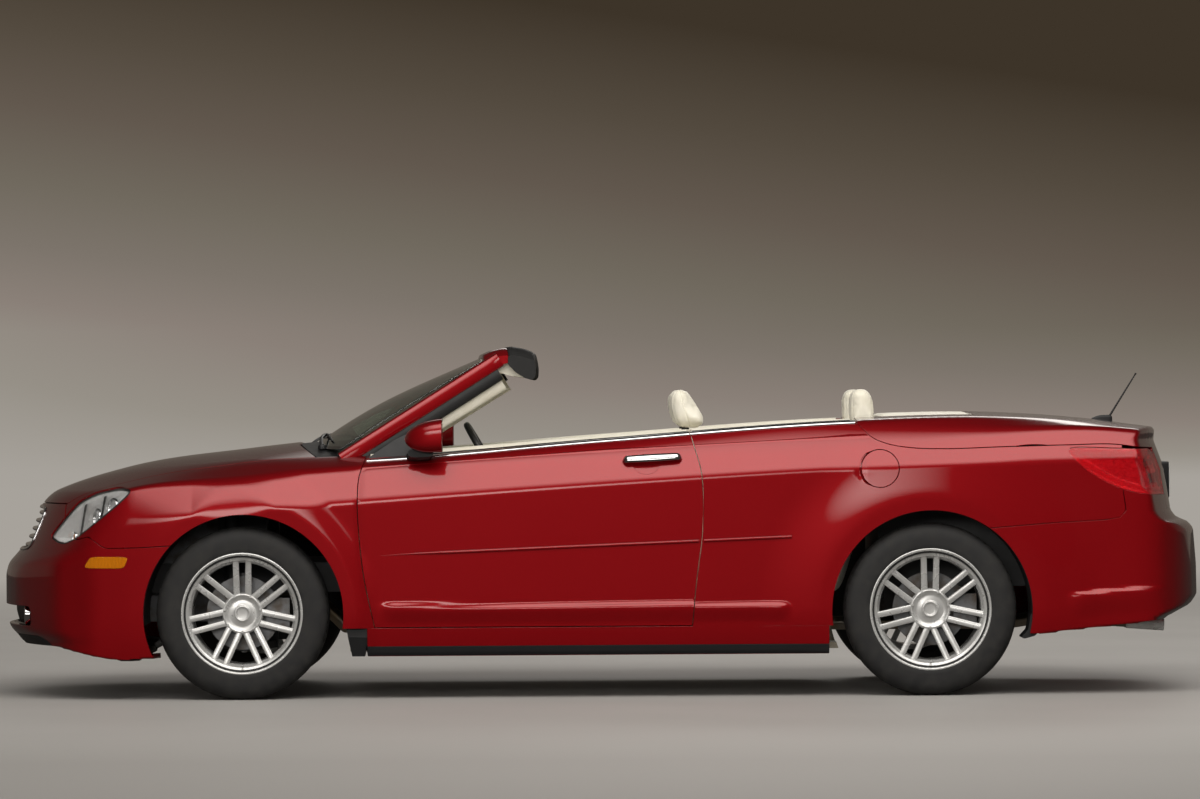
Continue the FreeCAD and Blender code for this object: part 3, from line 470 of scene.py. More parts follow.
def drop_specks(points, triangles):
    """Leaves out islands of fewer than 60 triangles."""
    label = np.arange(len(points))
    while True:
        lowest = label[triangles].min(1)
        updated = label.copy()
        for k in range(3):
            np.minimum.at(updated, triangles[:, k], lowest)
        updated = updated[updated]
        if (updated == label).all():
            break
        label = updated
    names, size = np.unique(label[triangles[:, 0]], return_counts=True)
    return packed(points, triangles[np.isin(label[triangles[:, 0]], names[size >= 60])])


def folded_sheet(points, triangles, thickness):
    """The sheet, an inner face thickness below it and a rim with a fold 1.6 mm wide."""
    edge = 1.6
    normal = skin_normal(points)
    edges = np.concatenate([triangles[:, [0, 1]], triangles[:, [1, 2]], triangles[:, [2, 0]]])
    keys, where, count = np.unique(
        np.sort(edges, 1), axis=0, return_inverse=True, return_counts=True)
    rim = edges[count[where.ravel()] == 1]
    along = points[rim[:, 1]] - points[rim[:, 0]]
    outward = np.zeros_like(points)
    side = np.cross(along, normal[rim[:, 0]])
    for k in range(2):
        np.add.at(outward, rim[:, k], side)
    border = np.unique(rim)
    outward = outward[border]
    outward /= np.linalg.norm(outward, axis=1, keepdims=True) + 1e-9
    place = np.full(len(points), -1)
    place[border] = np.arange(len(border))
    total, ring = len(points), len(border)
    fold = points[border] + outward * edge * 0.6 - normal[border] * edge
    inner = points - normal * thickness
    a, b = rim[:, 0], rim[:, 1]
    fold_a, fold_b = place[a] + total, place[b] + total
    deep_a, deep_b = a + total + ring, b + total + ring
    quads = np.concatenate([
        np.stack([a, fold_a, fold_b, b], 1), np.stack([fold_a, deep_a, deep_b, fold_b], 1)])
    faces = triangles.tolist() + (triangles[:, ::-1] + total + ring).tolist() + quads.tolist()
    fold_normal = normal[border] * 0.35 + outward * 0.94
    normals = np.concatenate([normal, fold_normal, -normal])
    return np.concatenate([points, fold, inner]), faces, normals


def halved(quads):
    """Each quad as two triangles."""
    return np.concatenate([quads[:, [0, 1, 2]], quads[:, [0, 2, 3]]])


def cut_chart(chart, quads, cuts):
    """A chart's grid as triangles, cut by functions of the points."""
    points, triangles = chart.reshape(-1, 3), halved(quads)
    for cut in cuts:
        points, triangles = cut_sheet(points, triangles, cut(points))
    return drop_specks(points, triangles)


def panel(name, chart, cuts, thickness, side=0):
    """One panel: a chart cut by functions of the points, then folded. side 1 mirrors it."""
    quads = grid_faces(*chart.shape[:2])
    a, b, c = (chart.reshape(-1, 3)[quads[:, k]] for k in range(3))
    if (np.cross(b - a, c - a) * skin_normal(a)).sum() < 0:
        quads = quads[:, ::-1]
    points, triangles = cut_chart(chart, quads, cuts)
    points, faces, normals = folded_sheet(points, triangles, thickness)
    normals /= np.linalg.norm(normals, axis=1, keepdims=True)
    if side == 1:
        points, normals = mirrored(points), mirrored(normals)
        faces = [face[::-1] for face in faces]
    piece = make_object(name, points, faces)
    piece.data.normals_split_custom_set_from_vertices(normals.tolist())
    return piece


report("cutting and folding sheets")

# %% [markdown]
# ## Materials
#
# Every finish is built from nodes in the object's own coordinates. Colours are sRGB hex, and
# the size of each pattern is given in millimetres. The helpers below add one node, a pattern of
# a given size, and a bump of a given depth.

# %% Material helpers
def linear(hex_colour):
    """An sRGB hex colour as the linear RGBA that a shader takes."""
    value = [int(hex_colour[k:k + 2], 16) / 255 for k in (1, 3, 5)]
    return tuple(c / 12.92 if c <= 0.04045 else ((c + 0.055) / 1.055) ** 2.4
                 for c in value) + (1.0,)


def add_node(tree, kind, inputs=None, **settings):
    """Add a node. An input's value is a number, a colour or another node's socket."""
    node = tree.nodes.new("ShaderNode" + kind)
    for key, value in settings.items():
        setattr(node, key, value)
    for key, value in (inputs or {}).items():
        if isinstance(value, bpy.types.NodeSocket):
            tree.links.new(value, node.inputs[key])
        else:
            node.inputs[key].default_value = value
    return node


def finish(name, colour, roughness, metallic=0.0, ior=1.5, **more):
    """A material with one Principled shader, and its tree and shader."""
    material = bpy.data.materials.new(name)
    material.use_nodes = True
    tree = material.node_tree
    shader = tree.nodes["Principled BSDF"]
    shader.inputs["Base Color"].default_value = linear(colour)
    shader.inputs["Roughness"].default_value = roughness
    shader.inputs["Metallic"].default_value = metallic
    shader.inputs["IOR"].default_value = ior
    for key, value in more.items():
        shader.inputs[key.replace("_", " ")].default_value = value
    return material, tree, shader


def place_mm(tree):
    """Object coordinates in millimetres."""
    where = add_node(tree, "TexCoord").outputs["Object"]
    return add_node(tree, "VectorMath", {0: where, "Scale": 1000.0}, operation="SCALE").outputs[0]


def noise(tree, size, detail=2.0, place=None, distortion=0.0):
    """Soft noise, 0 to 1, with features of a size in mm."""
    place = place or place_mm(tree)
    return add_node(tree, "TexNoise", {"Vector": place, "Scale": 1.0 / size, "Detail": detail,
                                       "Distortion": distortion}).outputs["Fac"]


def cells(tree, size, feature="F1", place=None, output="Distance"):
    """Cells of a size in mm: pebbles of leather, flakes, or the holes of a mesh."""
    place = place or place_mm(tree)
    return add_node(tree, "TexVoronoi", {"Vector": place, "Scale": 1.0 / size},
                    feature=feature).outputs[output]


def sums(tree, operation, a, b=0.5, c=0.5):
    return add_node(tree, "Math", {0: a, 1: b, 2: c}, operation=operation).outputs[0]


def remap(tree, value, low, high, start=0.0, end=1.0):
    """A value from start..end mapped to low..high, and held at the ends."""
    return add_node(tree, "MapRange", {"Value": value, "From Min": start, "From Max": end,
                                       "To Min": low, "To Max": high}).outputs["Result"]


def tones(tree, value, *stops):
    """A colour from a value, with stops of (place, hex colour)."""
    ramp = add_node(tree, "ValToRGB", {"Fac": value})
    while len(ramp.color_ramp.elements) < len(stops):
        ramp.color_ramp.elements.new(0.5)
    for element, (at, colour) in zip(ramp.color_ramp.elements, stops):
        element.position, element.color = at, linear(colour)
    return ramp.outputs["Color"]


def bump(tree, shader, height, depth, under=None, socket="Normal"):
    """Relief of a depth in mm. Give an earlier bump as under to add one to another."""
    inputs = {"Height": height, "Distance": depth * MM, "Strength": 1.0}
    if under is not None:
        inputs["Normal"] = under
    normal = add_node(tree, "Bump", inputs).outputs["Normal"]
    tree.links.new(normal, shader.inputs[socket])
    return normal


def drive(tree, shader, **sockets):
    for key, value in sockets.items():
        tree.links.new(value, shader.inputs[key.replace("_", " ")])


report("material helpers")

# %% [markdown]
# ## Bright finishes
#
# Paint, plated trim, cast wheels, lamp bowls and mirrors all reflect the studio. They differ in
# how sharp that reflection is and what lies under it, so each is one shader with its own
# roughness, and the paint adds a clear coat over its dark red base.

# %% Paint, chrome and alloy
# Red pearl: mica in a dark red base under clear lacquer, brighter square on than at the edge.
PAINT, tree, shader = finish("paint_red_pearl", "#7E0209", 0.45, 0.35, Coat_Weight=0.85,
                             Coat_Roughness=0.03, Coat_IOR=1.5, Specular_IOR_Level=0.1)
facing = add_node(tree, "LayerWeight", {"Blend": 0.42}).outputs["Facing"]
flake = cells(tree, 0.35, output="Color")
sparkle = sums(tree, "MULTIPLY_ADD", add_node(tree, "SeparateColor", {"Color": flake}).outputs[0],
               0.16, facing)
drive(tree, shader, Base_Color=tones(tree, sparkle, (0.0, "#93040E"), (0.35, "#780209"),
                                     (1.0, "#380004")),
      Roughness=remap(tree, noise(tree, 240.0), 0.31, 0.38))
bump(tree, shader, noise(tree, 5.0, 1.0), 0.012, socket="Coat Normal")

# Chrome plating: bright, with faint smears where it has been wiped.
CHROME, tree, shader = finish("chrome_plate", "#D9DADC", 0.06, 1.0)
drive(tree, shader, Roughness=remap(tree, noise(tree, 45.0, 3.0), 0.04, 0.12, 0.35, 0.75))

# Cast alloy, painted silver, with patches of brake dust.
ALLOY, tree, shader = finish("alloy_silver", "#D6D7D6", 0.26, 0.5, Coat_Weight=0.5,
                             Coat_Roughness=0.05)
dust = noise(tree, 70.0, 3.0)
drive(tree, shader, Base_Color=tones(tree, dust, (0.3, "#C6C6C4"), (0.7, "#DADBDA")),
      Roughness=remap(tree, dust, 0.34, 0.22))
bump(tree, shader, noise(tree, 1.2), 0.01)

# Reflector bowl: aluminium film under lacquer, pressed in small facets.
REFLECTOR, tree, shader = finish("reflector_aluminium", "#F6F7F7", 0.17, 0.5)
bump(tree, shader, cells(tree, 14.0, "SMOOTH_F1"), 1.4)

# The tail lamp's bowl: red plastic pressed in small prisms that throw light back. Its colour holds
# painted light: painted shade darkens the grooves between the prisms, and a pale painted glint
# fills the middle of each.
PRISMS, tree, shader = finish("reflector_red_prisms", "#C40A1C", 0.18, 0.25, Coat_Weight=0.6)
prism = cells(tree, 9.0, "DISTANCE_TO_EDGE")
drive(tree, shader, Base_Color=tones(tree, prism, (0.0, "#8E0A16"), (0.12, "#E8182C"),
                                     (0.5, "#FF5A6A")))
bump(tree, shader, prism, 1.6)

# Silvered mirror behind clean glass, with a little dust.
MIRROR_GLASS, tree, shader = finish("mirror_silver", "#C8CED2", 0.01, 1.0)
drive(tree, shader, Roughness=remap(tree, noise(tree, 30.0, 4.0), 0.005, 0.06, 0.55, 0.8))
report("paint, chrome and alloy")

# %% [markdown]
# ## Bare metals
#
# Brake discs and suspension are grey iron, the exhaust is stainless steel, and the structure
# under the panels is sheet steel in primer. An image could carry rust and heat tints. Soft noise
# gives the same patches at any distance and needs no unwrapping.

# %% Iron, steel and structure
# Grey iron: machined faces with fine turning marks, and a brown bloom of rust in patches.
IRON, tree, shader = finish("iron_machined", "#77787A", 0.42, 0.85)
rust = noise(tree, 55.0, 5.0)
drive(tree, shader, Base_Color=tones(tree, rust, (0.45, "#7C7D7F"), (0.62, "#6A6560"),
                                     (0.8, "#5A4638")),
      Roughness=remap(tree, rust, 0.34, 0.62))
bump(tree, shader, add_node(tree, "TexWave", {"Vector": place_mm(tree), "Scale": 0.11},
                            wave_type="RINGS", rings_direction="Y").outputs["Fac"], 0.03)

# Stainless steel of the exhaust, with a straw tint where it runs hot.
STEEL, tree, shader = finish("stainless_steel", "#A7A29B", 0.3, 1.0)
heat = noise(tree, 130.0, 3.0)
drive(tree, shader, Base_Color=tones(tree, heat, (0.35, "#A9A59E"), (0.6, "#9A8C74"),
                                     (0.8, "#7F7266")),
      Roughness=remap(tree, heat, 0.22, 0.42))
bump(tree, shader, noise(tree, 2.0, 3.0), 0.02)

# Pressed body steel, dipped in grey primer, with weld-wash streaks.
STRUCTURE, tree, shader = finish("primed_steel", "#3B3C3D", 0.5, 0.1)
wash = noise(tree, 90.0, 4.0)
drive(tree, shader, Base_Color=tones(tree, wash, (0.3, "#333435"), (0.7, "#444546")),
      Roughness=remap(tree, wash, 0.42, 0.62))
bump(tree, shader, noise(tree, 3.0, 2.0), 0.05)
report("iron, steel and structure")

# %% [markdown]
# ## Rubber and plastics
#
# These blacks differ mostly in gloss and grain: seals are matt, moulded plastic has fine
# pebbles, tyres are dusty. Each gets its own roughness range and relief, because flat black
# would look the same on all of them.

# %% Rubber, plastics and tyres
# Seal rubber, matt black with a fine moulded texture.
RUBBER, tree, shader = finish("seal_rubber", "#141414", 0.62)
drive(tree, shader, Roughness=remap(tree, noise(tree, 35.0, 3.0), 0.52, 0.72))
bump(tree, shader, noise(tree, 0.9, 2.0), 0.04)

# Black moulded plastic with a leather-like grain.
PLASTIC, tree, shader = finish("plastic_black_grained", "#17181A", 0.48)
drive(tree, shader, Roughness=remap(tree, noise(tree, 60.0, 3.0), 0.4, 0.58))
bump(tree, shader, cells(tree, 1.3, "SMOOTH_F1"), 0.09)

# The screen behind the grille: black plastic, with six-sided holes that drop away. The holes are
# painted near black, as painted shade for the dark space behind them.
MESH_BLACK, tree, shader = finish("plastic_honeycomb", "#0C0C0D", 0.42)
hole = remap(tree, cells(tree, 13.0, "DISTANCE_TO_EDGE"), 1.0, 0.0, 0.03, 0.10)
drive(tree, shader, Base_Color=tones(tree, hole, (0.2, "#020202"), (0.9, "#1B1B1D")))
bump(tree, shader, hole, 3.0)

# Tyre rubber: dark grey, ridged round the sidewall, dusty where it meets the road.
TYRE, tree, shader = finish("tyre_rubber", "#1D1D1E", 0.7)
scuff = noise(tree, 40.0, 4.0)
drive(tree, shader, Base_Color=tones(tree, scuff, (0.35, "#19191A"), (0.8, "#2A2927")),
      Roughness=remap(tree, scuff, 0.6, 0.82))
bump(tree, shader, noise(tree, 1.5, 3.0), 0.12)
report("rubber, plastics and tyres")

# %% [markdown]
# ## Hides and pile
#
# Leather and its moulded copies share one recipe: pebbles over larger creases, with slow
# changes of tone. One function makes all four, so a change of grain is made in one place.

# %% Leather, soft trim and carpet
def hide(name, colour, pale, deep, pebble, depth, roughness, sheen=0.0):
    """Grained hide or its moulded copy: pebbles of a size, and slow changes of tone."""
    material, tree, shader = finish(name, colour, roughness, Sheen_Weight=sheen)
    where = place_mm(tree)
    tone = noise(tree, 85.0, 3.0, where)
    drive(tree, shader, Base_Color=tones(tree, tone, (0.3, deep), (0.7, pale)),
          Roughness=remap(tree, tone, roughness - 0.06, roughness + 0.06))
    grain = cells(tree, pebble, "SMOOTH_F1", where)
    creased = bump(tree, shader, noise(tree, pebble * 9, 4.0, where, 0.6), depth * 1.6)
    bump(tree, shader, grain, depth, under=creased)
    return material


LEATHER = hide("leather_cream", "#F2EEDF", "#F5F1E3", "#E8E3D0", 1.7, 0.14, 0.46, 0.15)
TRIM_CREAM = hide("trim_cream_grained", "#E9E5D6", "#EDE9DB", "#E2DDCB", 1.1, 0.08, 0.56)
DASH_DARK = hide("dash_top_taupe", "#4A463F", "#4F4B44", "#434039", 1.1, 0.09, 0.62)
WHEEL_LEATHER = hide("leather_black", "#1B1A19", "#201F1E", "#161514", 1.4, 0.12, 0.42)

# Cut-pile carpet in warm grey: short tufts that stand up, with painted shade in the colour where
# they shade each other.
CARPET, tree, shader = finish("carpet_pile", "#8E8878", 0.95, Sheen_Weight=0.5,
                              Sheen_Roughness=0.6)
tuft = noise(tree, 2.2, 3.0)
drive(tree, shader, Base_Color=tones(tree, tuft, (0.25, "#6C6658"), (0.6, "#928C7C"),
                                     (0.85, "#A59F8F")))
bump(tree, shader, tuft, 1.6)

# Satin silver plastic of bezels and levers.
SATIN, tree, shader = finish("satin_silver", "#B6B8BA", 0.32, 0.8)
drive(tree, shader, Roughness=remap(tree, noise(tree, 25.0, 2.0), 0.27, 0.38))
bump(tree, shader, noise(tree, 0.6, 1.0), 0.02)
report("leather, soft trim and carpet")

# %% [markdown]
# ## Glass and acrylic
#
# Panes and lenses are clear sheets with a film of dust. They could be drawn half transparent,
# but then they would not bend light. Transmission does, and a low alpha lets enough light
# through the closed lenses to show the bowls behind them.

# %% Glass and lamps
def clear(name, colour, roughness=0.02, weight=1.0, **more):
    """Glass or acrylic that light passes through, with a film of dust and wiping marks."""
    material, tree, shader = finish(name, colour, roughness, Transmission_Weight=weight, **more)
    drive(tree, shader, Roughness=remap(tree, noise(tree, 120.0, 4.0), roughness,
                                         roughness + 0.03, 0.5, 0.8))
    return material


GLASS = clear("glass_green_tint", "#D3E4DA", 0.0)
LENS = clear("lens_clear_acrylic", "#F8FAFA", 0.01, Alpha=0.14)
LENS_RED = clear("lens_red_acrylic", "#E8202E", 0.02, 0.75, Alpha=0.5)
AMBER, tree, shader = finish("lens_amber_acrylic", "#E88A12", 0.08, Transmission_Weight=0.35,
                             Emission_Strength=0.0)
bump(tree, shader, add_node(tree, "TexWave", {"Vector": place_mm(tree), "Scale": 0.055},
                            bands_direction="X").outputs["Fac"], 0.9)

# Blank plate: white retro-reflective sheet with its fine cell pattern.
PLATE, tree, shader = finish("plate_blank_white", "#DEDFDC", 0.38, Coat_Weight=0.5)
drive(tree, shader, Base_Color=tones(tree, noise(tree, 35.0, 2.0), (0.3, "#D9DAD6"),
                                     (0.7, "#E4E5E1")))
bump(tree, shader, cells(tree, 2.4, "DISTANCE_TO_EDGE"), 0.05)
report("glass and lamps")

# %% [markdown]
# ## Parts that stay as CAD
#
# Many CAD nodes are seen only in part or lie under a finished skin. They keep their mesh and
# only get a finish, which is simpler than a second model of each.

# %% Finishes of the CAD nodes that stay
STAYS = {
    IRON: ("brake_disc_front_left", "brake_disc_front_right", "brake_disc_rear_left",
           "brake_disc_rear_right", "engine", "knuckle_left", "knuckle_right",
           "rear_suspension"),
    STEEL: ("exhaust",),
    STRUCTURE: ("front_structure", "front_suspension", "trunk_tub"),
    RUBBER: ("door_seals",),
    PLASTIC: ("cowl", "mud_flaps", "wheelhouse_liners", "wipers", "antenna_mast"),
    PAINT: ("door_left", "door_right", "rear_quarters", "sills"),
    TRIM_CREAM: ("side_trims", "door_trim_left", "door_trim_right", "tonneau_panel",
                 "center_console", "dashboard"),
    CARPET: ("floor_pan",),
}
for material, nodes in STAYS.items():
    for node in nodes:
        materials = bpy.data.objects[node].data.materials
        materials.clear()
        materials.append(material)

report("finishes of the cad nodes that stay")

# %% [markdown]
# ## Shut lines
#
# Each line is the same as on the CAD panels, so a skin opens with the door or lid that it is on.
# A panel keeps the part of its chart where each of its functions is below zero.

# %% Shut lines as functions
GAP = 2.3                 # half of the gap that shows between two panels
DOOR_AXIS = (-957.0, 906.0)
DOOR_FRONT = np.array(((-905, 290), (-948, 502), (-965, 657), (-971, 790), (-965, 891),
                       (-940, 975), (-935, 1100)), float)
DOOR_REAR = np.array(((366, 290, 893), (384, 473, 898), (407, 648, 902), (411, 840, 906),
                      (404, 911, 890), (380, 998, 852), (356, 1080, 790)), float)
DECK_LINE = np.array(((1036, 1100), (1097, 1041), (1152, 1017), (1263, 998), (1374, 994),
                      (1614, 1000), (1891, 1006), (2075, 1007), (2158, 997), (2500, 988)), float)
FRONT_SEAM = np.array(((-2118, 645), (-2060, 660), (-2016, 628), (-1988, 612), (-1850, 615),
                       (-1650, 626)), float)
REAR_SEAM = np.array(((1500, 668), (1800, 690), (2040, 703), (2090, 712), (2112, 740),
                      (2100, 826)), float)
HOOD_SIDE = np.array(((-2400, 385), (-2300, 480), (-2200, 565), (-2145, 603), (-2070, 653),
                      (-1700, 707), (-1150, 715)), float)
HOOD_FRONT_R = 1245.0
HEADLAMP = np.array(((-2236, 655), (-2203, 698), (-2114, 798), (-2034, 838), (-1933, 860),
                     (-1886, 849), (-1892, 828), (-1953, 773), (-2046, 701), (-2118, 648),
                     (-2167, 628), (-2200, 634)), float)
TAIL_LAMP = np.array(((1881, 997), (1891, 962), (1946, 906), (2029, 855), (2103, 822),
                      (2195, 803), (2420, 797), (2420, 990), (2168, 986)), float)
SEAM_SPLIT_Z, SEAM_SPLIT_X = 720.0, -2170.0


def behind_door_front(p):
    """How far a point lies behind the door's front edge."""
    return p[:, 0] - smooth_curve(p[:, 2], DOOR_FRONT[:, 1], DOOR_FRONT[:, 0])


def beyond_door_rear(p):
    """How far a point lies beyond the door's rear edge, measured from the hinge axis."""
    reach = np.hypot(DOOR_REAR[:, 0] - DOOR_AXIS[0], DOOR_AXIS[1] - DOOR_REAR[:, 2])
    line = smooth_curve(p[:, 2], DOOR_REAR[:, 1], reach)
    return np.hypot(p[:, 0] - DOOR_AXIS[0], DOOR_AXIS[1] - np.abs(p[:, 1])) - line


def outside_hood(p):
    """Above zero outside the hood: beyond its sides or ahead of its front arc."""
    width = smooth_curve(p[:, 0], HOOD_SIDE[:, 0], HOOD_SIDE[:, 1])
    ahead = np.hypot(np.minimum(p[:, 0] - NOSE_AXIS_X, 0), p[:, 1]) - HOOD_FRONT_R
    return np.maximum(np.abs(p[:, 1]) - width, ahead)


def behind_hood(p):
    """Above zero behind the hood's rear edge, an arc that sweeps back to the corners."""
    return p[:, 0] + 1250 - 100 * (np.abs(p[:, 1]) / 715) ** 2


def above_deck_line(p):
    return p[:, 2] - smooth_curve(p[:, 0], DECK_LINE[:, 0], DECK_LINE[:, 1])


# The cup behind each door handle: an oval with this centre and these half-sizes.
CUP = np.array((187.0, 937.0, 52.0, 40.0))


def cup_reach(p):
    """Roughly the distance outside the handle's cup, below zero inside it."""
    across = np.hypot((p[:, 0] - CUP[0]) / CUP[2], (p[:, 2] - CUP[1]) / CUP[3])
    return (across - 1) * 44.0


def above_front_seam(p):
    """Above zero on the fender's side of the seam between front bumper and fender."""
    seam = np.interp(p[:, 0], FRONT_SEAM[:, 0], FRONT_SEAM[:, 1])
    below_lamp = np.minimum(p[:, 0] - FRONT_SEAM[0, 0], p[:, 2] - seam)
    return np.where(p[:, 2] > SEAM_SPLIT_Z, p[:, 0] - SEAM_SPLIT_X, below_lamp)


def above_rear_seam(p):
    """Above zero on the quarter's side of the seam between quarter and rear bumper."""
    seam = np.interp(p[:, 0], REAR_SEAM[:-1, 0], REAR_SEAM[:-1, 1])
    upright = np.interp(p[:, 2], (740, 826), (2112, 2100))
    return np.minimum(p[:, 2] - seam, upright - p[:, 0])


def outline_depth(p, outline):
    """Distance inside a closed outline in side view, below zero outside it."""
    a = p[:, None, ::2] - outline[None]
    step = np.roll(outline, -1, 0) - outline
    share = np.clip((a * step).sum(-1) / (step ** 2).sum(-1), 0, 1)
    gap = np.linalg.norm(a - share[..., None] * step, axis=-1).min(1)
    b = np.roll(a, -1, 1)
    crosses = (a[..., 1] > 0) != (b[..., 1] > 0)
    at = a[..., 0] - a[..., 1] * step[:, 0] / np.where(step[:, 1] == 0, 1, step[:, 1])
    odd = (crosses & (at > 0)).sum(1) % 2
    return np.where(odd == 1, gap, -gap)


def rounded_outline(outline, share):
    """A closed outline with each corner replaced by a short quadratic curve."""
    outline = np.asarray(outline, float)
    before, after = np.roll(outline, 1, 0), np.roll(outline, -1, 0)
    t = np.linspace(0, 1, 5)[None, :, None]
    start = (outline + (before - outline) * share)[:, None]
    end = (outline + (after - outline) * share)[:, None]
    curve = start * (1 - t) ** 2 + outline[:, None] * 2 * t * (1 - t) + end * t ** 2
    return curve.reshape(-1, 2)


HEADLAMP = rounded_outline(HEADLAMP, 0.3)
TAIL_LAMP = rounded_outline(TAIL_LAMP, 0.3)


def in_headlamp(p):
    return np.where(np.abs(p[:, 1]) > 430, outline_depth(p, HEADLAMP), -50.0)


def in_tail_lamp(p):
    return np.where(np.abs(p[:, 1]) > 566, outline_depth(p, TAIL_LAMP), -50.0)


def in_arch(p):
    return ARCH_R - arch_distance(p[:, 0], p[:, 2])


report("shut lines as functions")

# %% [markdown]
# ## The painted panels
#
# Hood, fenders, doors, quarters, deck lid, bumpers and sills are pressed steel or moulded
# plastic in the same paint. Each is its own sheet, cut from the charts above. The doors,
# quarters and sills lie over the thick CAD panels, which show the jambs when a door opens.
# The others stand in for their CAD nodes.

# %% Painted panels
FENDER_BOTTOM_Z = 286.0
SILL_TOP_Z, SILL_RED_Z = 284.5, 213.0
BELT_IN = 6.0             # the paint ends this far inside the belt line
FUEL_X, FUEL_Z, FUEL_R = 1125.0, 914.0, 74.0
FACE_HALF, FACE_Z = 560.0, 742.0
WELL_HALF, WELL_REAR_X = 607.0, 1522.0
GRILLE_HALF_ANGLE = 17.6
GRILLE_LOW_Z, GRILLE_HIGH_Z = 598.0, 772.0
INTAKE_HALF_ANGLE = 25.5
INTAKE_LOW_Z, INTAKE_HIGH_Z = 292.0, 374.0


def belt_inset(p):
    """How far a point lies inboard of the belt line."""
    return np.interp(p[:, 0], STATION_X, STATION[6]) - np.abs(p[:, 1])


def slot_depth(p, half_angle, low_z, high_z):
    """Distance inside an opening with round corners, in angle and height round the nose's axis."""
    corner = 24.0
    across = np.abs(np.arctan2(p[:, 1], np.abs(p[:, 0] - NOSE_AXIS_X)))
    across = (across - math.radians(half_angle)) * 1360 + corner
    up = np.abs(p[:, 2] - (low_z + high_z) / 2) - (high_z - low_z) / 2 + corner
    outside = np.hypot(np.maximum(across, 0), np.maximum(up, 0))
    return corner - outside - np.minimum(np.maximum(across, up), 0)


def in_grille(p):
    return slot_depth(p, GRILLE_HALF_ANGLE, GRILLE_LOW_Z, GRILLE_HIGH_Z)


def in_intake(p):
    return slot_depth(p, INTAKE_HALF_ANGLE, INTAKE_LOW_Z, INTAKE_HIGH_Z)


def fuel_depth(p):
    return FUEL_R - np.hypot(p[:, 0] - FUEL_X, p[:, 2] - FUEL_Z)


def in_deck(p):
    """Above zero where the deck lid is: over its line, or on the upright face behind."""
    face = np.minimum(FACE_HALF - np.abs(p[:, 1]), np.minimum(p[:, 2] - FACE_Z, p[:, 0] - 2150))
    return np.maximum(np.minimum(above_deck_line(p), p[:, 0] - DECK_LINE[0, 0]), face)


def in_well(p):
    """Above zero over the folded top's panel, ahead of the deck lid's cross piece."""
    return np.minimum(WELL_REAR_X - p[:, 0], WELL_HALF - np.abs(p[:, 1]))


painted = []


def add_panel(name, chart, cuts, thickness, body, replaces=(), side=0):
    painted.append(settle(panel(name, chart, cuts, thickness, side), PAINT, body, replaces))
    return painted[-1]


def roll_edge(piece, inside):
    """Draws a panel in by 2.8 mm where inside(points), the distance to its edge, is small.

    A real panel's edge is rolled like this at a hinge, so that it clears what swings past it.
    """
    points = vertices(piece)
    near = smooth_step(16 - np.abs(inside(points / MM)), 0, 12)
    points[:, 1] -= np.sign(points[:, 1]) * 2.8 * near * MM
    move_vertices(piece, points)


hood_chart = top_chart(-2380, -1130, 86, 760, 96)
add_panel("hood_skin", hood_chart, [
    lambda p: outside_hood(p), lambda p: behind_hood(p)], 24, "hood", ["hood"])

fender_chart = side_chart(-2300, -900, 116, (2, 8, 38, 12, 8, 8), 0.8)
door_chart = side_chart(-990, 425, 104, (1, 2, 42, 12, 7, 4), 0.9)
quarter_chart = side_chart(340, 2230, 136, (1, 3, 44, 12, 7, 5), 0.9)
sill_chart = side_chart(-960, 940, 110, (3, 10, 2, 1, 1, 1), 0.9)
for name, side in SIDES:
    add_panel("fender_" + name, fender_chart, [
        lambda p: GAP * 2 - outside_hood(p),
        lambda p: behind_door_front(p) + 5.1,
        in_arch,
        lambda p: np.where(p[:, 0] < -1400, GAP - above_front_seam(p), -9.0),
        lambda p: np.where(p[:, 0] > -1400, FENDER_BOTTOM_Z - p[:, 2], -9.0),
        lambda p: in_headlamp(p) + 2.0,
    ], 22, "car_body", ["front_fenders"], side)
    add_panel("door_skin_" + name, door_chart, [
        lambda p: -0.4 - behind_door_front(p),
        lambda p: beyond_door_rear(p) - 0.4,
        lambda p: 290.0 - p[:, 2],
        lambda p: belt_inset(p) - BELT_IN,
        lambda p: 1.5 - cup_reach(p),
    ], 7, "door_" + name, (), side)
    add_panel("quarter_skin_" + name, quarter_chart, [
        lambda p: 5.1 - beyond_door_rear(p),
        lambda p: in_deck(p) + GAP * 2,
        in_arch,
        lambda p: np.where(p[:, 0] > 1400, GAP - above_rear_seam(p), -9.0),
        lambda p: np.where(p[:, 0] < 1400, FENDER_BOTTOM_Z - p[:, 2], -9.0),
        lambda p: in_tail_lamp(p) + 2.0,
        lambda p: belt_inset(p) - BELT_IN,
    ] + ([lambda p: fuel_depth(p) + 4.5 + 6 * smooth_step(FUEL_X - 35 - p[:, 0], 0, 25)]
         if side == 0 else []), 7, "car_body", (), side)
    add_panel("sill_skin_" + name, sill_chart, [
        lambda p: p[:, 2] - SILL_TOP_Z,
        lambda p: SILL_RED_Z - p[:, 2],
        lambda p: np.abs(p[:, 0] + 10) - 926,
    ], 12, "car_body", (), side)

fuel_chart = side_chart(FUEL_X - 90, FUEL_X + 90, 34, (1, 1, 22, 10, 2, 1), 0.9)
add_panel("fuel_door_skin", fuel_chart, [lambda p: -fuel_depth(p)], 8, "fuel_door", ["fuel_door"])

deck_chart = fan_chart((1750, 0, 600), (12, 150), 112, (-2.15, 2.15), 124)
add_panel("deck_skin", deck_chart, [
    lambda p: in_well(p), lambda p: -in_deck(p)], 24, "deck_lid", ["deck_lid"])

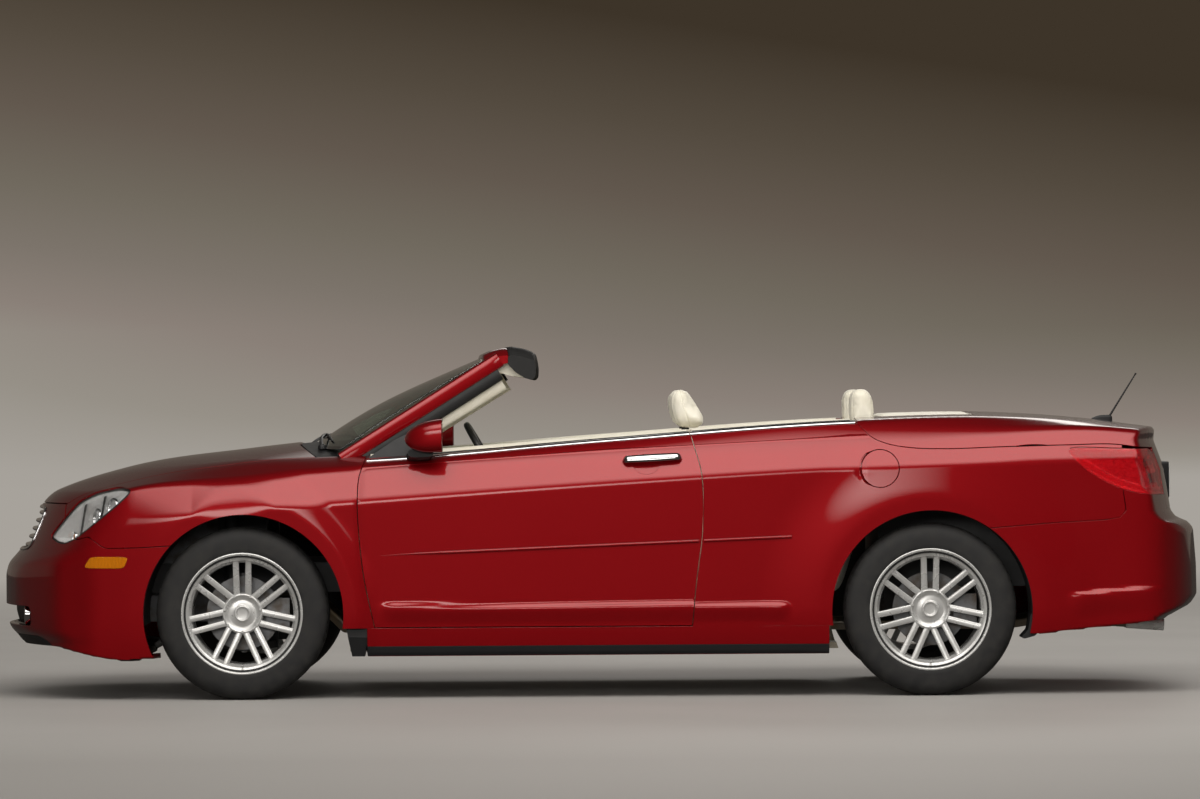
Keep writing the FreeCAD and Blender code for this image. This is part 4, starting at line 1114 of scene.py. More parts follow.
front_chart = end_chart(-1400, 150, 850, 76, 76, 150, -1)
add_panel("front_bumper_skin", front_chart, [
    lambda p: GAP * 2 - np.where(p[:, 2] > 700, outside_hood(p), 50.0),
    lambda p: above_front_seam(p) + GAP,
    in_arch,
    lambda p: p[:, 0] + 1700,
    lambda p: in_headlamp(p) + 2.0,
    in_grille,
    in_intake,
    lambda p: 255 - p[:, 2] - 90 * smooth_step(np.abs(p[:, 1]), 600, 780),
], 20, "car_body", ["front_bumper"])

rear_chart = end_chart(1400, 160, 1010, 76, 82, 150, 1)
add_panel("rear_bumper_skin", rear_chart, [
    lambda p: in_deck(p) + GAP * 2,
    lambda p: above_rear_seam(p) + GAP,
    in_arch,
    lambda p: REAR_X - p[:, 0],
    lambda p: np.where(p[:, 0] < 1765, 249.0 - p[:, 2], -9.0),
    lambda p: in_tail_lamp(p) + 2.0,
], 20, "car_body", ["rear_bumper"])
for name, _ in SIDES:
    roll_edge(bpy.data.objects["fender_" + name], behind_door_front)
    roll_edge(bpy.data.objects["door_skin_" + name], behind_door_front)
for stem, edge_x in (("fuel_door_skin", 1055.0), ("quarter_skin_left", 1040.0)):
    roll_edge(bpy.data.objects[stem], lambda p: np.where(fuel_depth(p) > -20, p[:, 0] - edge_x,
                                                         99.0))
print(len(painted), "painted panels,", sum(len(o.data.polygons) for o in painted), "faces")

# %% [markdown]
# ## Bright strips and mouldings that follow the skin
#
# A chrome strip runs along the belt line, and a body-coloured moulding along the doors. Each is
# a small profile carried along a path on the skin. The path is cast onto the envelope, so the
# strip sits on the metal over its whole length.

# %% Strips carried along the skin
def skin_path(x, z):
    """Points on the left side's skin at stations x and heights z, with the normals there."""
    start = xyz(x, 0.0, z)
    points = cast(start, np.broadcast_to((0.0, -1.0, 0.0), start.shape))
    return points, skin_normal(points)


def carried(path, normal, profile, side=0):
    """A closed profile of (along normal, across) pairs carried along a path: rows of rings."""
    path, normal = np.asarray(path, float), np.asarray(normal, float)
    along = np.gradient(path, axis=0)
    along /= np.linalg.norm(along, axis=1, keepdims=True)
    across = np.cross(along, normal)
    across /= np.linalg.norm(across, axis=1, keepdims=True)
    profile = np.asarray(profile, float)
    if profile.ndim == 2:
        profile = np.broadcast_to(profile, (len(path),) + profile.shape)
    rings = (path[:, None] + normal[:, None] * profile[..., :1]
             + across[:, None] * profile[..., 1:])
    return on_side(rings, side)


def capped_tube(name, rings):
    """Rings of points as a closed tube with flat ends, its faces outwards."""
    rows, columns = rings.shape[:2]
    faces = grid_faces(rows, columns, wrap_columns=True).tolist()
    faces.append(list(range(columns))[::-1])
    faces.append([(rows - 1) * columns + k for k in range(columns)])
    return fix_normals(make_object(name, rings, faces))


def fix_normals(piece):
    """Turns all faces of a closed mesh outwards."""
    import bmesh
    work = bmesh.new()
    work.from_mesh(piece.data)
    bmesh.ops.recalc_face_normals(work, faces=work.faces)
    work.to_mesh(piece.data)
    work.free()
    return piece


def crisp(piece, angle=40.0):
    piece.data.set_sharp_from_angle(angle=math.radians(angle))
    return piece


def swept(name, rings, material, angle=40.0, side=0, **where):
    """A closed tube through rings of points, settled on its body. side 1 mirrors it."""
    piece = capped_tube(name, on_side(rings, side))
    return settle(crisp(piece, angle), material, **where)


def half_round(width, height, sink=2.0):
    """A profile that is flat below the skin and rounded above it, as (out, across) pairs."""
    turn = np.linspace(0, np.pi, 9)
    top = np.stack([height * np.sin(turn) ** 0.8, width / 2 * np.cos(turn)], 1)
    return np.concatenate([top, [(-sink, -width / 2), (-sink, width / 2)]])


def belt_z(x):
    return np.interp(x, STATION_X, STATION[7])


def strip(name, x_low, x_high, height, profile, material, body="car_body", side=0, taper=0.0):
    """A profile along the skin from x_low to x_high, at a height given as a function of x."""
    x = np.linspace(x_low, x_high, max(12, int((x_high - x_low) / 22)))
    path, normal = skin_path(x, height(x))
    shape = np.broadcast_to(profile, (len(x),) + np.shape(profile)).copy()
    if taper:
        shape *= np.clip((x - x_low) / taper, 0.12, 1)[:, None, None]
    return swept(name, carried(path, normal, shape, side), material, body=body)


belt_strip = half_round(20.0, 5.5, sink=8.0) - (0.0, 6.0)
moulding = half_round(13.0, 6.0)


def moulding_z(x):
    return np.interp(x, (-878, -780, 394, 418, 770), (577, 583, 628, 629, 643))


def belt_strip_z(x):
    return belt_z(x) - 9.0


for name, side in SIDES:
    door = "door_" + name
    strip("belt_strip_door_" + name, -938, 362, belt_strip_z, belt_strip, CHROME, body=door,
          side=side)
    strip("belt_strip_quarter_" + name, 366, 1030, belt_strip_z, belt_strip, CHROME, side=side)
    strip("moulding_door_" + name, -878, 396, moulding_z, moulding, PAINT, body=door, side=side,
          taper=260)
    strip("moulding_quarter_" + name, 417, 768, moulding_z, moulding, PAINT, side=side)
report("strips carried along the skin")

# %% [markdown]
# ## Top of the doors
#
# Inboard of the bright strip lies the slot that the window drops into, sealed by a black rubber
# lip, and then the soft roll at the top of the door's trim. Both are narrow sheets that follow
# the belt line.

# %% Window seals and belt rolls
def belt_sheet(name, x_low, x_high, across, material, body="car_body", side=0):
    """A sheet beside the belt line: across gives (inset from the belt, rise) pairs."""
    x = np.linspace(x_low, x_high, max(10, int((x_high - x_low) / 30)))
    top, top_z = (np.interp(x, STATION_X, STATION[k])[:, None] for k in (6, 7))
    across = np.asarray(across, float)
    swept(name, xyz(x[:, None], -(top - across[:, 0]), top_z + across[:, 1]), material, 50, side,
          body=body)


SEAL_SHAPE = ((5, -2), (8, 3), (14, 6), (22, 5), (25, -2), (25, -14), (5, -14))


def belt_roll(name, x_low, x_high, inner_y, body, side):
    """The trim's top: a soft roll over the wall's crowned top, with a flap down its inner face."""
    x = np.linspace(x_low, x_high, max(10, int((x_high - x_low) / 30)))
    top, top_z, middle_z = (np.interp(x, STATION_X, STATION[k])[:, None] for k in (6, 7, 8))
    rise = middle_z - top_z
    radius = (top ** 2 + rise ** 2) / (2 * rise)
    share = np.linspace(0, 1, 11)
    y = top - 26 - (top - 26 - inner_y) * share
    z = middle_z - radius + np.sqrt(radius ** 2 - y ** 2) + 1 + 5 * np.sin(np.pi * share) ** 0.7
    edge = z[:, -1:]
    flap_y = inner_y + np.array((-4, -5.5, -5.5, -3, 5, 8)) + 0 * edge
    flap_z = edge + np.array((-3, -10, -76, -84, -80, -20))
    y = np.concatenate([y, flap_y, top - 26], 1)
    z = np.concatenate([z, flap_z, z[:, :1] - 16], 1)
    swept(name, xyz(x[:, None], -y, z), TRIM_CREAM, 50, side, body=body)


for name, side in SIDES:
    door = "door_" + name
    for stem, x_low, x_high, inner_y, body in (("door", -925, 352, 705.5, door),
                                               ("quarter", 372, 1012, 700.0, "car_body")):
        belt_sheet(f"window_seal_{stem}_{name}", x_low, x_high, SEAL_SHAPE, RUBBER, body=body,
                   side=side)
        belt_roll(f"belt_roll_{stem}_{name}", x_low, x_high, inner_y, body, side)
report("window seals and belt rolls")

# %% [markdown]
# ## Door handles
#
# A pull handle is a chromed grip that bridges a shallow cup. The grip is a round bar whose
# section swells in the middle, carried along a line that stands off the door.

# %% Handles
HANDLE_X = (91.0, 332.0)


def handle(name, side):
    """A bar of oval section. Its distance from the door follows a flat-topped bump."""
    t = np.linspace(0, 1, 41)
    x = HANDLE_X[0] + (HANDLE_X[1] - HANDLE_X[0]) * t
    z = 947 + 12 * t
    path, normal = skin_path(x, z)
    ends = np.clip(np.minimum(t, 1 - t) / 0.10, 0, 1)
    lift = 4 + 20 * np.sin(ends * np.pi / 2)
    path = path + normal * lift[:, None]
    turn = around(24)
    size = np.sin(np.clip(np.minimum(t, 1 - t) / 0.05, 0.08, 1) * np.pi / 2)
    deep, tall = 8.5 * size, (14.5 + 2.5 * np.sin(np.pi * t)) * size
    profile = np.stack([deep[:, None] * np.cos(turn), tall[:, None] * np.sin(turn)], -1)
    return capped_tube(name, carried(path, normal, profile, side))


def cup(name, side):
    """A shallow oval bowl: depth falls from the rim as one minus the square of the radius."""
    r, turn = np.meshgrid(np.linspace(0, 1, 12), around(48), indexing="ij")
    x = CUP[0] + CUP[2] * r * np.cos(turn)
    z = CUP[1] + CUP[3] * r * np.sin(turn)
    path, normal = skin_path(x.ravel(), z.ravel())
    depth = -0.5 - 2.7 * (1 - r.ravel() ** 2)
    points = (path + normal * depth[:, None]).reshape(r.shape + (3,))
    return grid_object(name, on_side(points, side), wrap_columns=True, flip=side == 0)


for name, side in SIDES:
    door = "door_" + name
    settle(handle("door_handle_" + name, side), CHROME, body=door,
           replaces=["door_brightwork_" + name])
    settle(cup("door_cup_" + name, side), PAINT, body=door)
report("handles")

# %% [markdown]
# ## Sills, chin and flaps
#
# Below the painted sill runs a black plastic strip, and a black lip hangs under the front bumper.
# Both are moulded in textured plastic, which hides stone chips.

# %% Black lower trims
for name, side in SIDES:
    trim = panel("sill_trim_" + name, sill_chart, [
        lambda p: p[:, 2] - SILL_RED_Z + 3.0,
        lambda p: 174.0 + 4 * (np.abs(p[:, 0]) > 2000) - p[:, 2],
        lambda p: np.abs(p[:, 0] + 10) - 926,
    ], 30, side)
    settle(trim, PLASTIC)

chin = panel("front_chin", front_chart, [
    lambda p: p[:, 2] - (252 - 90 * smooth_step(np.abs(p[:, 1]), 600, 780)),
    lambda p: 152 - p[:, 2],
    lambda p: p[:, 0] + 1858,
    in_arch,
], 26)
settle(chin, PLASTIC)
report("black lower trims")

# %% [markdown]
# ## Wheels
#
# The rims are cast aluminium with a polished face: seven pairs of straight spokes run from a
# dished hub to a stepped flange. One pair is worked out as a closed surface and turned seven
# times. The barrel, flange and hub are profiles turned about the axle.

# %% Turned profiles and spokes
PAIRS = 7
SPOKE_W = 24.0


def turned(profile, count=64, centre=(0, 0, 0), axis=1):
    """A profile of (radius, along axle) pairs turned about the axle, as a grid closed round."""
    profile = np.asarray(profile, float)
    radius, y = profile[:, :1], profile[:, 1:]
    x, z = radius * np.sin(around(count)), radius * np.cos(around(count))
    return xyz(*{0: (y, x, z), 1: (x, y, z), 2: (x, z, y)}[axis]) + np.asarray(centre, float)


def bent(points, reach=6.0, count=5):
    """A profile with its corners rounded: each corner becomes a short quadratic curve."""
    points = np.asarray(points, float)
    out = [points[:1]]
    t = np.linspace(0, 1, count)[:, None]
    for before, corner, after in zip(points[:-2], points[1:-1], points[2:]):
        back, ahead = before - corner, after - corner
        back_length, ahead_length = np.linalg.norm(back), np.linalg.norm(ahead)
        start = corner + back * min(reach / back_length, 0.45)
        end = corner + ahead * min(reach / ahead_length, 0.45)
        out.append(start * (1 - t) ** 2 + corner * 2 * t * (1 - t) + end * t ** 2)
    out.append(points[-1:])
    return np.concatenate(out)


def loop(points, reach=6.0, count=5):
    """A closed profile with its corners rounded, apart from the one where it starts."""
    return bent(points + points[:1], reach, count)[:-1]


# Columns: radius, distance outboard of the wheel's middle plane.
RIM_PROFILE = bent((
    (205, -98), (236, -98), (246, -104), (247, -96), (228, -84), (224, -40), (208, -20),
    (208, 50), (222, 78), (230, 84), (240, 92), (247, 96), (247, 104), (241, 107), (236, 104),
    (232, 98), (226, 96), (216, 92), (210, 78), (205, 70), (203, 30), (201, -60), (205, -98)), 3.0,
                   3)
HUB_PROFILE = bent((
    (0, 66), (22, 66), (26, 71), (31, 71), (34, 63), (56, 60), (66, 64), (74, 70), (79, 68),
    (82, 58), (84, 50), (84, 41), (60, 40.5), (0, 40.5)), 3.0, 4)


def spoke(offset):
    """One spoke as a grid: along it the face dips and rises, across it the edges are rounded."""
    t = np.linspace(0, 1, 16)
    radius = 66 + 156 * t
    face = 64 + 6 * np.sin(np.pi * t) + 22 * t ** 2.2
    half = SPOKE_W / 2 * (1 + 0.10 * (1 - t) + 0.22 * np.clip((t - 0.86) / 0.14, 0, 1) ** 2)
    depth = 30 - 6 * t
    across, up = power(np.cos(around(16)), 0.32), power(np.sin(around(16)), 0.38)
    shift = offset * (1 + 0.16 * t)
    return xyz(shift[:, None] + half[:, None] * across,
               face[:, None] - depth[:, None] / 2 + depth[:, None] / 2 * up, radius[:, None])


def turned_by(points, angle):
    """Points turned about the axle."""
    c, s = math.cos(angle), math.sin(angle)
    x, z = points[..., 0] * c + points[..., 2] * s, points[..., 2] * c - points[..., 0] * s
    return xyz(x, points[..., 1], z)


def rim_mesh():
    """Barrel, hub, seven pairs of spokes, seven wheel nuts and the valve, as one mesh."""
    grids = [turned(RIM_PROFILE), turned(HUB_PROFILE, 56)]
    nut = turned([(0, 76), (4.5, 76), (5.5, 74), (5.5, 60)], 16, (0, 0, 74))
    for k in range(PAIRS):
        grids += [turned_by(spoke(offset), 2 * math.pi * k / PAIRS) for offset in (-22.5, 22.5)]
        grids.append(turned_by(nut, 2 * math.pi * (k + 0.5) / PAIRS))
    grids.append(turned([(0, 118), (3.5, 117), (4, 84)], 12, (0, 0, -208)))
    return join_meshes([(grid, grid_faces(*grid.shape[:2], wrap_columns=True))
                        for grid in grids])


report("turned profiles and spokes")

# %% [markdown]
# ## Tyres
#
# A tyre is moulded rubber: a round shoulder, a sidewall with a raised ring, and tread blocks
# parted by grooves. The carcass is a turned profile. The grooves are pressed into its tread by a
# function of the angle and of the place across the tread.

# %% Tyre
TREAD_BLOCKS = 58


def tyre_grid():
    """The carcass turned about the axle, with grooves where the tread pattern is low."""
    section = bent((
        (226, -99), (240, -104), (262, -108), (296, -107.5), (318, -103), (334, -94), (344, -80),
        (347, -55), (347, 55), (344, 80), (334, 94), (318, 103), (296, 107.5), (262, 108),
        (240, 104), (226, 99)), 9.0, 6)
    steps = np.concatenate([[0], np.cumsum(np.linalg.norm(np.diff(section, axis=0), axis=1))])
    tread = steps[-1] / 2 + np.linspace(-104, 104, 42)
    even = np.concatenate([np.linspace(0, tread[0], 12)[:-1], tread,
                           np.linspace(tread[-1], steps[-1], 12)[1:]])
    radius = np.interp(even, steps, section[:, 0])
    across = np.interp(even, steps, section[:, 1])
    count = TREAD_BLOCKS * 4
    turn = np.linspace(0, 2 * np.pi, count, endpoint=False)
    radius = np.broadcast_to(radius[:, None], (len(even), count)).copy()
    across = np.broadcast_to(across[:, None], radius.shape)
    tread = smooth_step(radius, 329, 336)
    rib = np.minimum.reduce([np.abs(np.abs(across) - place) for place in (22.0, 62.0)])
    groove = 1 - smooth_step(rib, 3.0, 5.5)
    slant = turn[None] * TREAD_BLOCKS + across * 0.045
    block = np.abs((slant / (2 * np.pi)) % 1 - 0.5) * 2
    sipe = smooth_step(block, 0.72, 0.92) * smooth_step(np.abs(across), 60, 66)
    radius -= tread * np.maximum(groove * 6.0, sipe * 4.5)
    ring = np.exp(-((radius - 306) / 3.0) ** 2) * 1.2 + np.exp(-((radius - 251) / 4.0) ** 2) * 1.6
    across = across + np.sign(across) * ring * (1 - tread)
    x, z = radius * np.sin(turn), radius * np.cos(turn)
    return xyz(x, across, z)


report("tyre")

# %% [markdown]
# ## Four wheels
#
# Both meshes are worked out once and placed four times. Scaling y by the side's sign turns the
# polished face outboard on either side.

# %% Wheels in place
rim_points, rim_faces = rim_mesh()
tyre_points = tyre_grid()
for end, axle_x in (("front", FRONT_X), ("rear", REAR_X)):
    for name, side in SIDES:
        body = f"wheel_{end}_{name}"
        place = np.array((axle_x, SIGN[side] * WHEEL_Y, AXLE_Z))
        outboard = (1, SIGN[side], 1)
        rim = make_object(f"rim_{end}_{name}_cast", rim_points * outboard + place, rim_faces)
        settle(crisp(fix_normals(rim), 38), ALLOY, body=body, replaces=[f"rim_{end}_{name}"])
        tyre = grid_object(f"tyre_{end}_{name}_rubber", tyre_points * outboard + place,
                           wrap_columns=True)
        settle(crisp(fix_normals(tyre), 30), TYRE, body=body, replaces=[f"tyre_{end}_{name}"])
print("wheels:", len(rim_faces), "faces in a rim,", tyre_points.shape[0] * tyre_points.shape[1],
      "points in a tyre")

# %% [markdown]
# ## Windshield, pillars and header
#
# The glass is a sheet bent across the car: at each height it is an arc between the pillars. The
# pillars carry a painted cap outside, a thick black seal that the side glass closes against, and
# a soft cream trim inside. All three are closed profiles carried up the same line.

# %% Windshield
# Columns: height, station on the middle line and at the sides, half-width.
SCREEN = np.array(((940, -1290, -1126, 770), (1020, -1180, -1000, 760), (1190, -905, -731, 690),
                   (1400, -432, -400, 600)), float)
PILLAR = np.array(((930, 760), (1030, 735), (1375, 592)), float)      # height, outer half-width


def screen_point(y, z, back=0.0):
    """The glass: x runs from the middle line's station to the sides' with the square of y."""
    middle, side, half = (smooth_curve(z, SCREEN[:, 0], SCREEN[:, k]) for k in (1, 2, 3))
    return xyz(middle + (side - middle) * (y / half) ** 2 + back, y, z)


def pillar_half(z):
    return np.interp(z, PILLAR[:, 0], PILLAR[:, 1])


def pillar_tube(name, section, z_low, z_high, material, side, taper=((0,), (1,))):
    """A closed section of (back from the glass edge, inboard of the outer face) carried up."""
    z = np.linspace(z_low, z_high, 40)
    x = smooth_curve(z, SCREEN[:, 0], SCREEN[:, 2])
    slope = np.gradient(x, z)
    length = np.hypot(slope, 1.0)
    back = xyz(1 / length, 0.0, -slope / length)
    scale = np.interp(z, *taper)
    rings = (xyz(x, -pillar_half(z), z)[:, None]
             + back[:, None] * (section[:, :1] * scale[:, None, None])
             + np.array((0, 1.0, 0)) * section[:, 1:])
    swept(name, rings, material, 42, side)


CAP_SECTION = loop(((4, 62), (-3, 40), (-4, 14), (2, 1), (20, -4), (46, -3), (60, 2), (60, 30),
                    (30, 58)), 12.0, 6)
SEAL_SECTION = loop(((58, 4), (74, 0), (92, 3), (104, 10), (104, 34), (84, 40), (58, 34)), 8.0, 5)
INNER_SECTION = loop(((58, 30), (102, 30), (134, 42), (142, 60), (120, 84), (60, 92), (14, 84),
                      (10, 62), (30, 58)), 14.0, 5)
for name, side in SIDES:
    pillar_tube("pillar_cap_" + name, CAP_SECTION, 985, 1388, PAINT, side=side)
    pillar_tube("pillar_seal_" + name, SEAL_SECTION, 1000, 1372, RUBBER, side=side,
                taper=((1000, 1120, 1372), (0.9, 1.0, 1.0)))
    pillar_tube("pillar_trim_" + name, INNER_SECTION, 1012, 1366, TRIM_CREAM, side=side,
                taper=((1012, 1130, 1366), (0.8, 1.0, 1.05)))


def cross_bar(name, section, half, material):
    """A closed (x, z) section carried across the car, bowed forward and dropped at its ends."""
    y = np.linspace(-half, half, 61)[:, None]
    bow = -32 * (1 - (y / 600) ** 2)
    drop = -42 * np.clip((np.abs(y) - 520) / 80, 0, None) ** 2
    swept(name, xyz(section[:, 0] + bow, y, section[:, 1] + drop), material, 42)


cross_bar("header_cap", loop(((-470, 1368), (-466, 1384), (-430, 1400), (-392, 1409), (-366, 1410),
                              (-366, 1380), (-440, 1362)), 8.0), 588, PAINT)
cross_bar("header_seal", loop(((-370, 1380), (-368, 1412), (-352, 1417), (-300, 1408),
                               (-262, 1395), (-256, 1368), (-258, 1330), (-270, 1316),
                               (-300, 1322), (-340, 1348)), 9.0), 594, RUBBER)
cross_bar("header_trim", loop(((-470, 1364), (-372, 1382), (-340, 1350), (-300, 1324),
                               (-272, 1314), (-292, 1300), (-360, 1308), (-440, 1334),
                               (-478, 1352)), 9.0), 560, TRIM_CREAM)


def screen_sheet(rows, columns, back):
    """The glass as a grid between the pillars, with its height first."""
    z = np.linspace(1004.0, 1386.0, rows)[:, None]
    y = (pillar_half(z) - 40) * np.linspace(-1, 1, columns)
    return screen_point(y, np.broadcast_to(z, y.shape), back)


def sheet_pair(name, outer, inner):
    """Two matching grids joined round their edge into one closed sheet."""
    rows, columns = outer.shape[:2]
    total = rows * columns
    faces = grid_faces(rows, columns)
    index = np.arange(total).reshape(rows, columns)
    ring = np.concatenate([index[0], index[1:, -1], index[-1, -2::-1], index[-2:0:-1, 0]])
    after = np.roll(ring, -1)
    rim = np.stack([ring, ring + total, after + total, after], 1)
    faces = np.concatenate([faces, faces[:, ::-1] + total, rim])
    return fix_normals(make_object(name, np.concatenate([outer.reshape(-1, 3),
                                                         inner.reshape(-1, 3)]), faces))


glass = sheet_pair("windshield_laminated", screen_sheet(40, 60, 0.0), screen_sheet(40, 60, 5.5))
settle(crisp(glass), GLASS, replaces=["windshield_glass", "windshield_frame"])

band_points = screen_sheet(90, 150, 7.5).reshape(-1, 3)
band_triangles = halved(grid_faces(90, 150))
from_side = pillar_half(band_points[:, 2]) - 40 - np.abs(band_points[:, 1])
from_ends = np.minimum(band_points[:, 2] - 1028, 1366 - band_points[:, 2])
band_points, band_triangles = cut_sheet(band_points, band_triangles,
                                        np.minimum(from_side - 24, from_ends - 8))
settle(make_object("windshield_border", band_points, band_triangles), PLASTIC)
report("windshield")

# %% [markdown]
# ## Rounded forms
#
# Mirror housings, visors, buttons and pads are all rounded boxes. A superellipsoid gives them:
# each coordinate is a power of a cosine or sine, and the power sets how square the form is.

# %% Rounded boxes
def rounded_box(size, square=0.35, rows=18, columns=32):
    """A superellipsoid of full size (x, y, z). A small power gives flat sides, 1 an ellipsoid."""
    up = np.linspace(-np.pi / 2, np.pi / 2, rows)[:, None]
    turn = np.linspace(-np.pi, np.pi, columns, endpoint=False)[None]
    wide = power(np.cos(up), square)
    return xyz(wide * power(np.cos(turn), square), wide * power(np.sin(turn), square),
               power(np.sin(up), square)) * np.asarray(size, float) / 2


def placed(points, centre, tilt=0.0):
    """Points tilted by degrees about the across-car axis and moved."""
    c, s = math.cos(math.radians(tilt)), math.sin(math.radians(tilt))
    x, y, z = np.moveaxis(np.asarray(points, float), -1, 0)
    return xyz(x * c + z * s, y, z * c - x * s) + np.asarray(centre, float)


def form(name, points, material, side=0, **where):
    """A grid closed round, as one piece. side 1 mirrors it."""
    piece = grid_object(name, on_side(points, side), wrap_columns=True)
    return settle(crisp(fix_normals(piece), 45), material, **where)


def bundle(name, grids, material, side=0, **where):
    """Several small grids, each closed round, as one piece."""
    parts = [(on_side(grid, side),
              grid_faces(*grid.shape[:2], wrap_columns=True)) for grid in grids]
    piece = fix_normals(make_object(name, *join_meshes(parts)))
    return settle(crisp(piece, 45), material, **where)


for name, side in SIDES:
    visor = placed(rounded_box((165, 470, 20), 0.3), (-478, -290, 1308), tilt=-10)
    form("sun_visor_" + name, visor, TRIM_CREAM, side=side)
report("rounded boxes")

# %% [markdown]
# ## Mirrors
#
# The housing is a painted shell that swells from a blunt nose to a rounded oblong at the back,
# where the glass sits a little way in. It stands on a black foot at the door's front corner.

# %% Door mirrors
MIRROR_X = (-782.0, -628.0)


def mirror_shell(inset=0.0):
    """Sections grow with the root of the way back; each is a rounded oblong."""
    t = np.linspace(0, 1, 30)[:, None]
    grow = (1 - (1 - t) ** 2.4) ** 0.55
    across, up = power(np.cos(around(56)), 0.62), power(np.sin(around(56)), 0.62)
    x = MIRROR_X[0] + (MIRROR_X[1] - MIRROR_X[0]) * t - np.abs(across) * 6 * t
    return xyz(x, -922 + (90 - inset) * grow * across,
               1043 + 16 * t + (67 - inset) * grow * up)


shell = mirror_shell()
housing = np.concatenate([shell, shell[-1:] + (2, 0, 0), mirror_shell(9.0)[-1:] + (-2, 0, 0),
                          mirror_shell(12.0)[-1:] + (-20, 0, 0)])
pane_edge = mirror_shell(14.0)[-1] + (-9, 0, 0)
pane_middle = pane_edge.mean(0)
pane = pane_middle + (pane_edge - pane_middle) * np.linspace(0, 1, 10)[:, None, None]
t = np.linspace(0, 1, 20)[:, None]
turn = around(28)
foot = xyz(-728 + 10 * t + (44 + 8 * np.cos(np.pi * t) ** 2) * power(np.cos(turn), 0.6),
           -795 - 118 * t ** 0.8,
           972 + 16 * t ** 1.6 + (17 + 5 * (1 - t)) * power(np.sin(turn), 0.7))
outline = loop(((-936, 955), (-930, 972), (-828, 1040), (-775, 1066), (-742, 1062), (-700, 1002),
                (-690, 975)), 10.0)
sail_y = np.interp(outline[:, 0], STATION_X, STATION[6])
sail = np.stack([xyz(outline[:, 0], -(sail_y - depth) + (outline[:, 1] - 960) * 0.32,
                     outline[:, 1]) for depth in (4, 18)])
for name, side in SIDES:
    door = "door_" + name
    form("mirror_shell_" + name, housing, PAINT, body=door, replaces=["mirror_" + name], side=side)
    form("mirror_glass_" + name, pane, MIRROR_GLASS, body=door, side=side)
    swept("mirror_foot_" + name, foot, PLASTIC, side=side, body=door)
    swept("mirror_sail_" + name, sail, PLASTIC, side=side, body=door)
report("door mirrors")

# %% [markdown]
# ## Lamps
#
# A lamp is a clear or red lens flush with the body, a bright bowl behind it and bulbs or
# projectors in the bowl. The lens is one more panel of the skin. The bowl is the same patch of
# skin pushed inwards, deeper the further a point lies from the lens's edge.

# %% Headlamps and tail lamps
def patch(name, chart, cuts, offset, side):
    """A single sheet of the skin, cut and then moved along its normal by offset(points)."""
    points, triangles = cut_chart(chart, grid_faces(*chart.shape[:2]), cuts)
    points = points + skin_normal(points) * offset(points)[:, None]
    if side == 1:
        points, triangles = mirrored(points), triangles[:, ::-1]
    return make_object(name, points, triangles)


def side_patch_chart(x_low, x_high, columns, z_low, z_high, rows, origin_x, origin_z):
    """Rays from one point inside, aimed so that they meet the left side over a rectangle."""
    x, z = np.meshgrid(np.linspace(x_low, x_high, columns), np.linspace(z_low, z_high, rows),
                       indexing="ij")
    start = np.broadcast_to(np.array((origin_x, -250.0, origin_z)), x.shape + (3,))
    return cast(start, xyz(x, np.clip(-np.interp(x, *PLAN) * 0.93, -850, -420), z) - start)


head_chart = side_patch_chart(-2330, -1850, 88, 600, 885, 52, -1750, 700)
tail_chart = side_patch_chart(1850, 2420, 84, 770, 1010, 44, 1900, 850)


def lamp_bowl(p):
    """Shallow at the rim and 52 mm deep in the middle."""
    depth = in_headlamp(p)
    return -7 - 46 * smooth_step(depth, 2, 46)


def tail_bowl(p):
    depth = in_tail_lamp(p)
    ribs = 1.6 * np.abs(((p[:, 0] + p[:, 2]) / 14.0) % 1 - 0.5)
    return -8 - 30 * smooth_step(depth, 2, 40) - ribs


def in_clear_part(p):
    """Above zero in the clear strip behind the red part, for the reversing bulb."""
    strip_x = np.interp(p[:, 2], (820, 870, 930, 960), (2232, 2215, 2192, 2186))
    half = np.interp(p[:, 2], (818, 850, 930, 962), (2, 13, 11, 3))
    return np.minimum(half - np.abs(p[:, 0] - strip_x), 60 - np.abs(p[:, 2] - 888))


def level(depth):
    """An offset that is the same everywhere."""
    return lambda p: np.full(len(p), depth)


HEAD_CUTS = [lambda p: 0.5 - in_headlamp(p), lambda p: 2 - outside_hood(p)]
TAIL_CUTS = [lambda p: 0.5 - in_tail_lamp(p)]
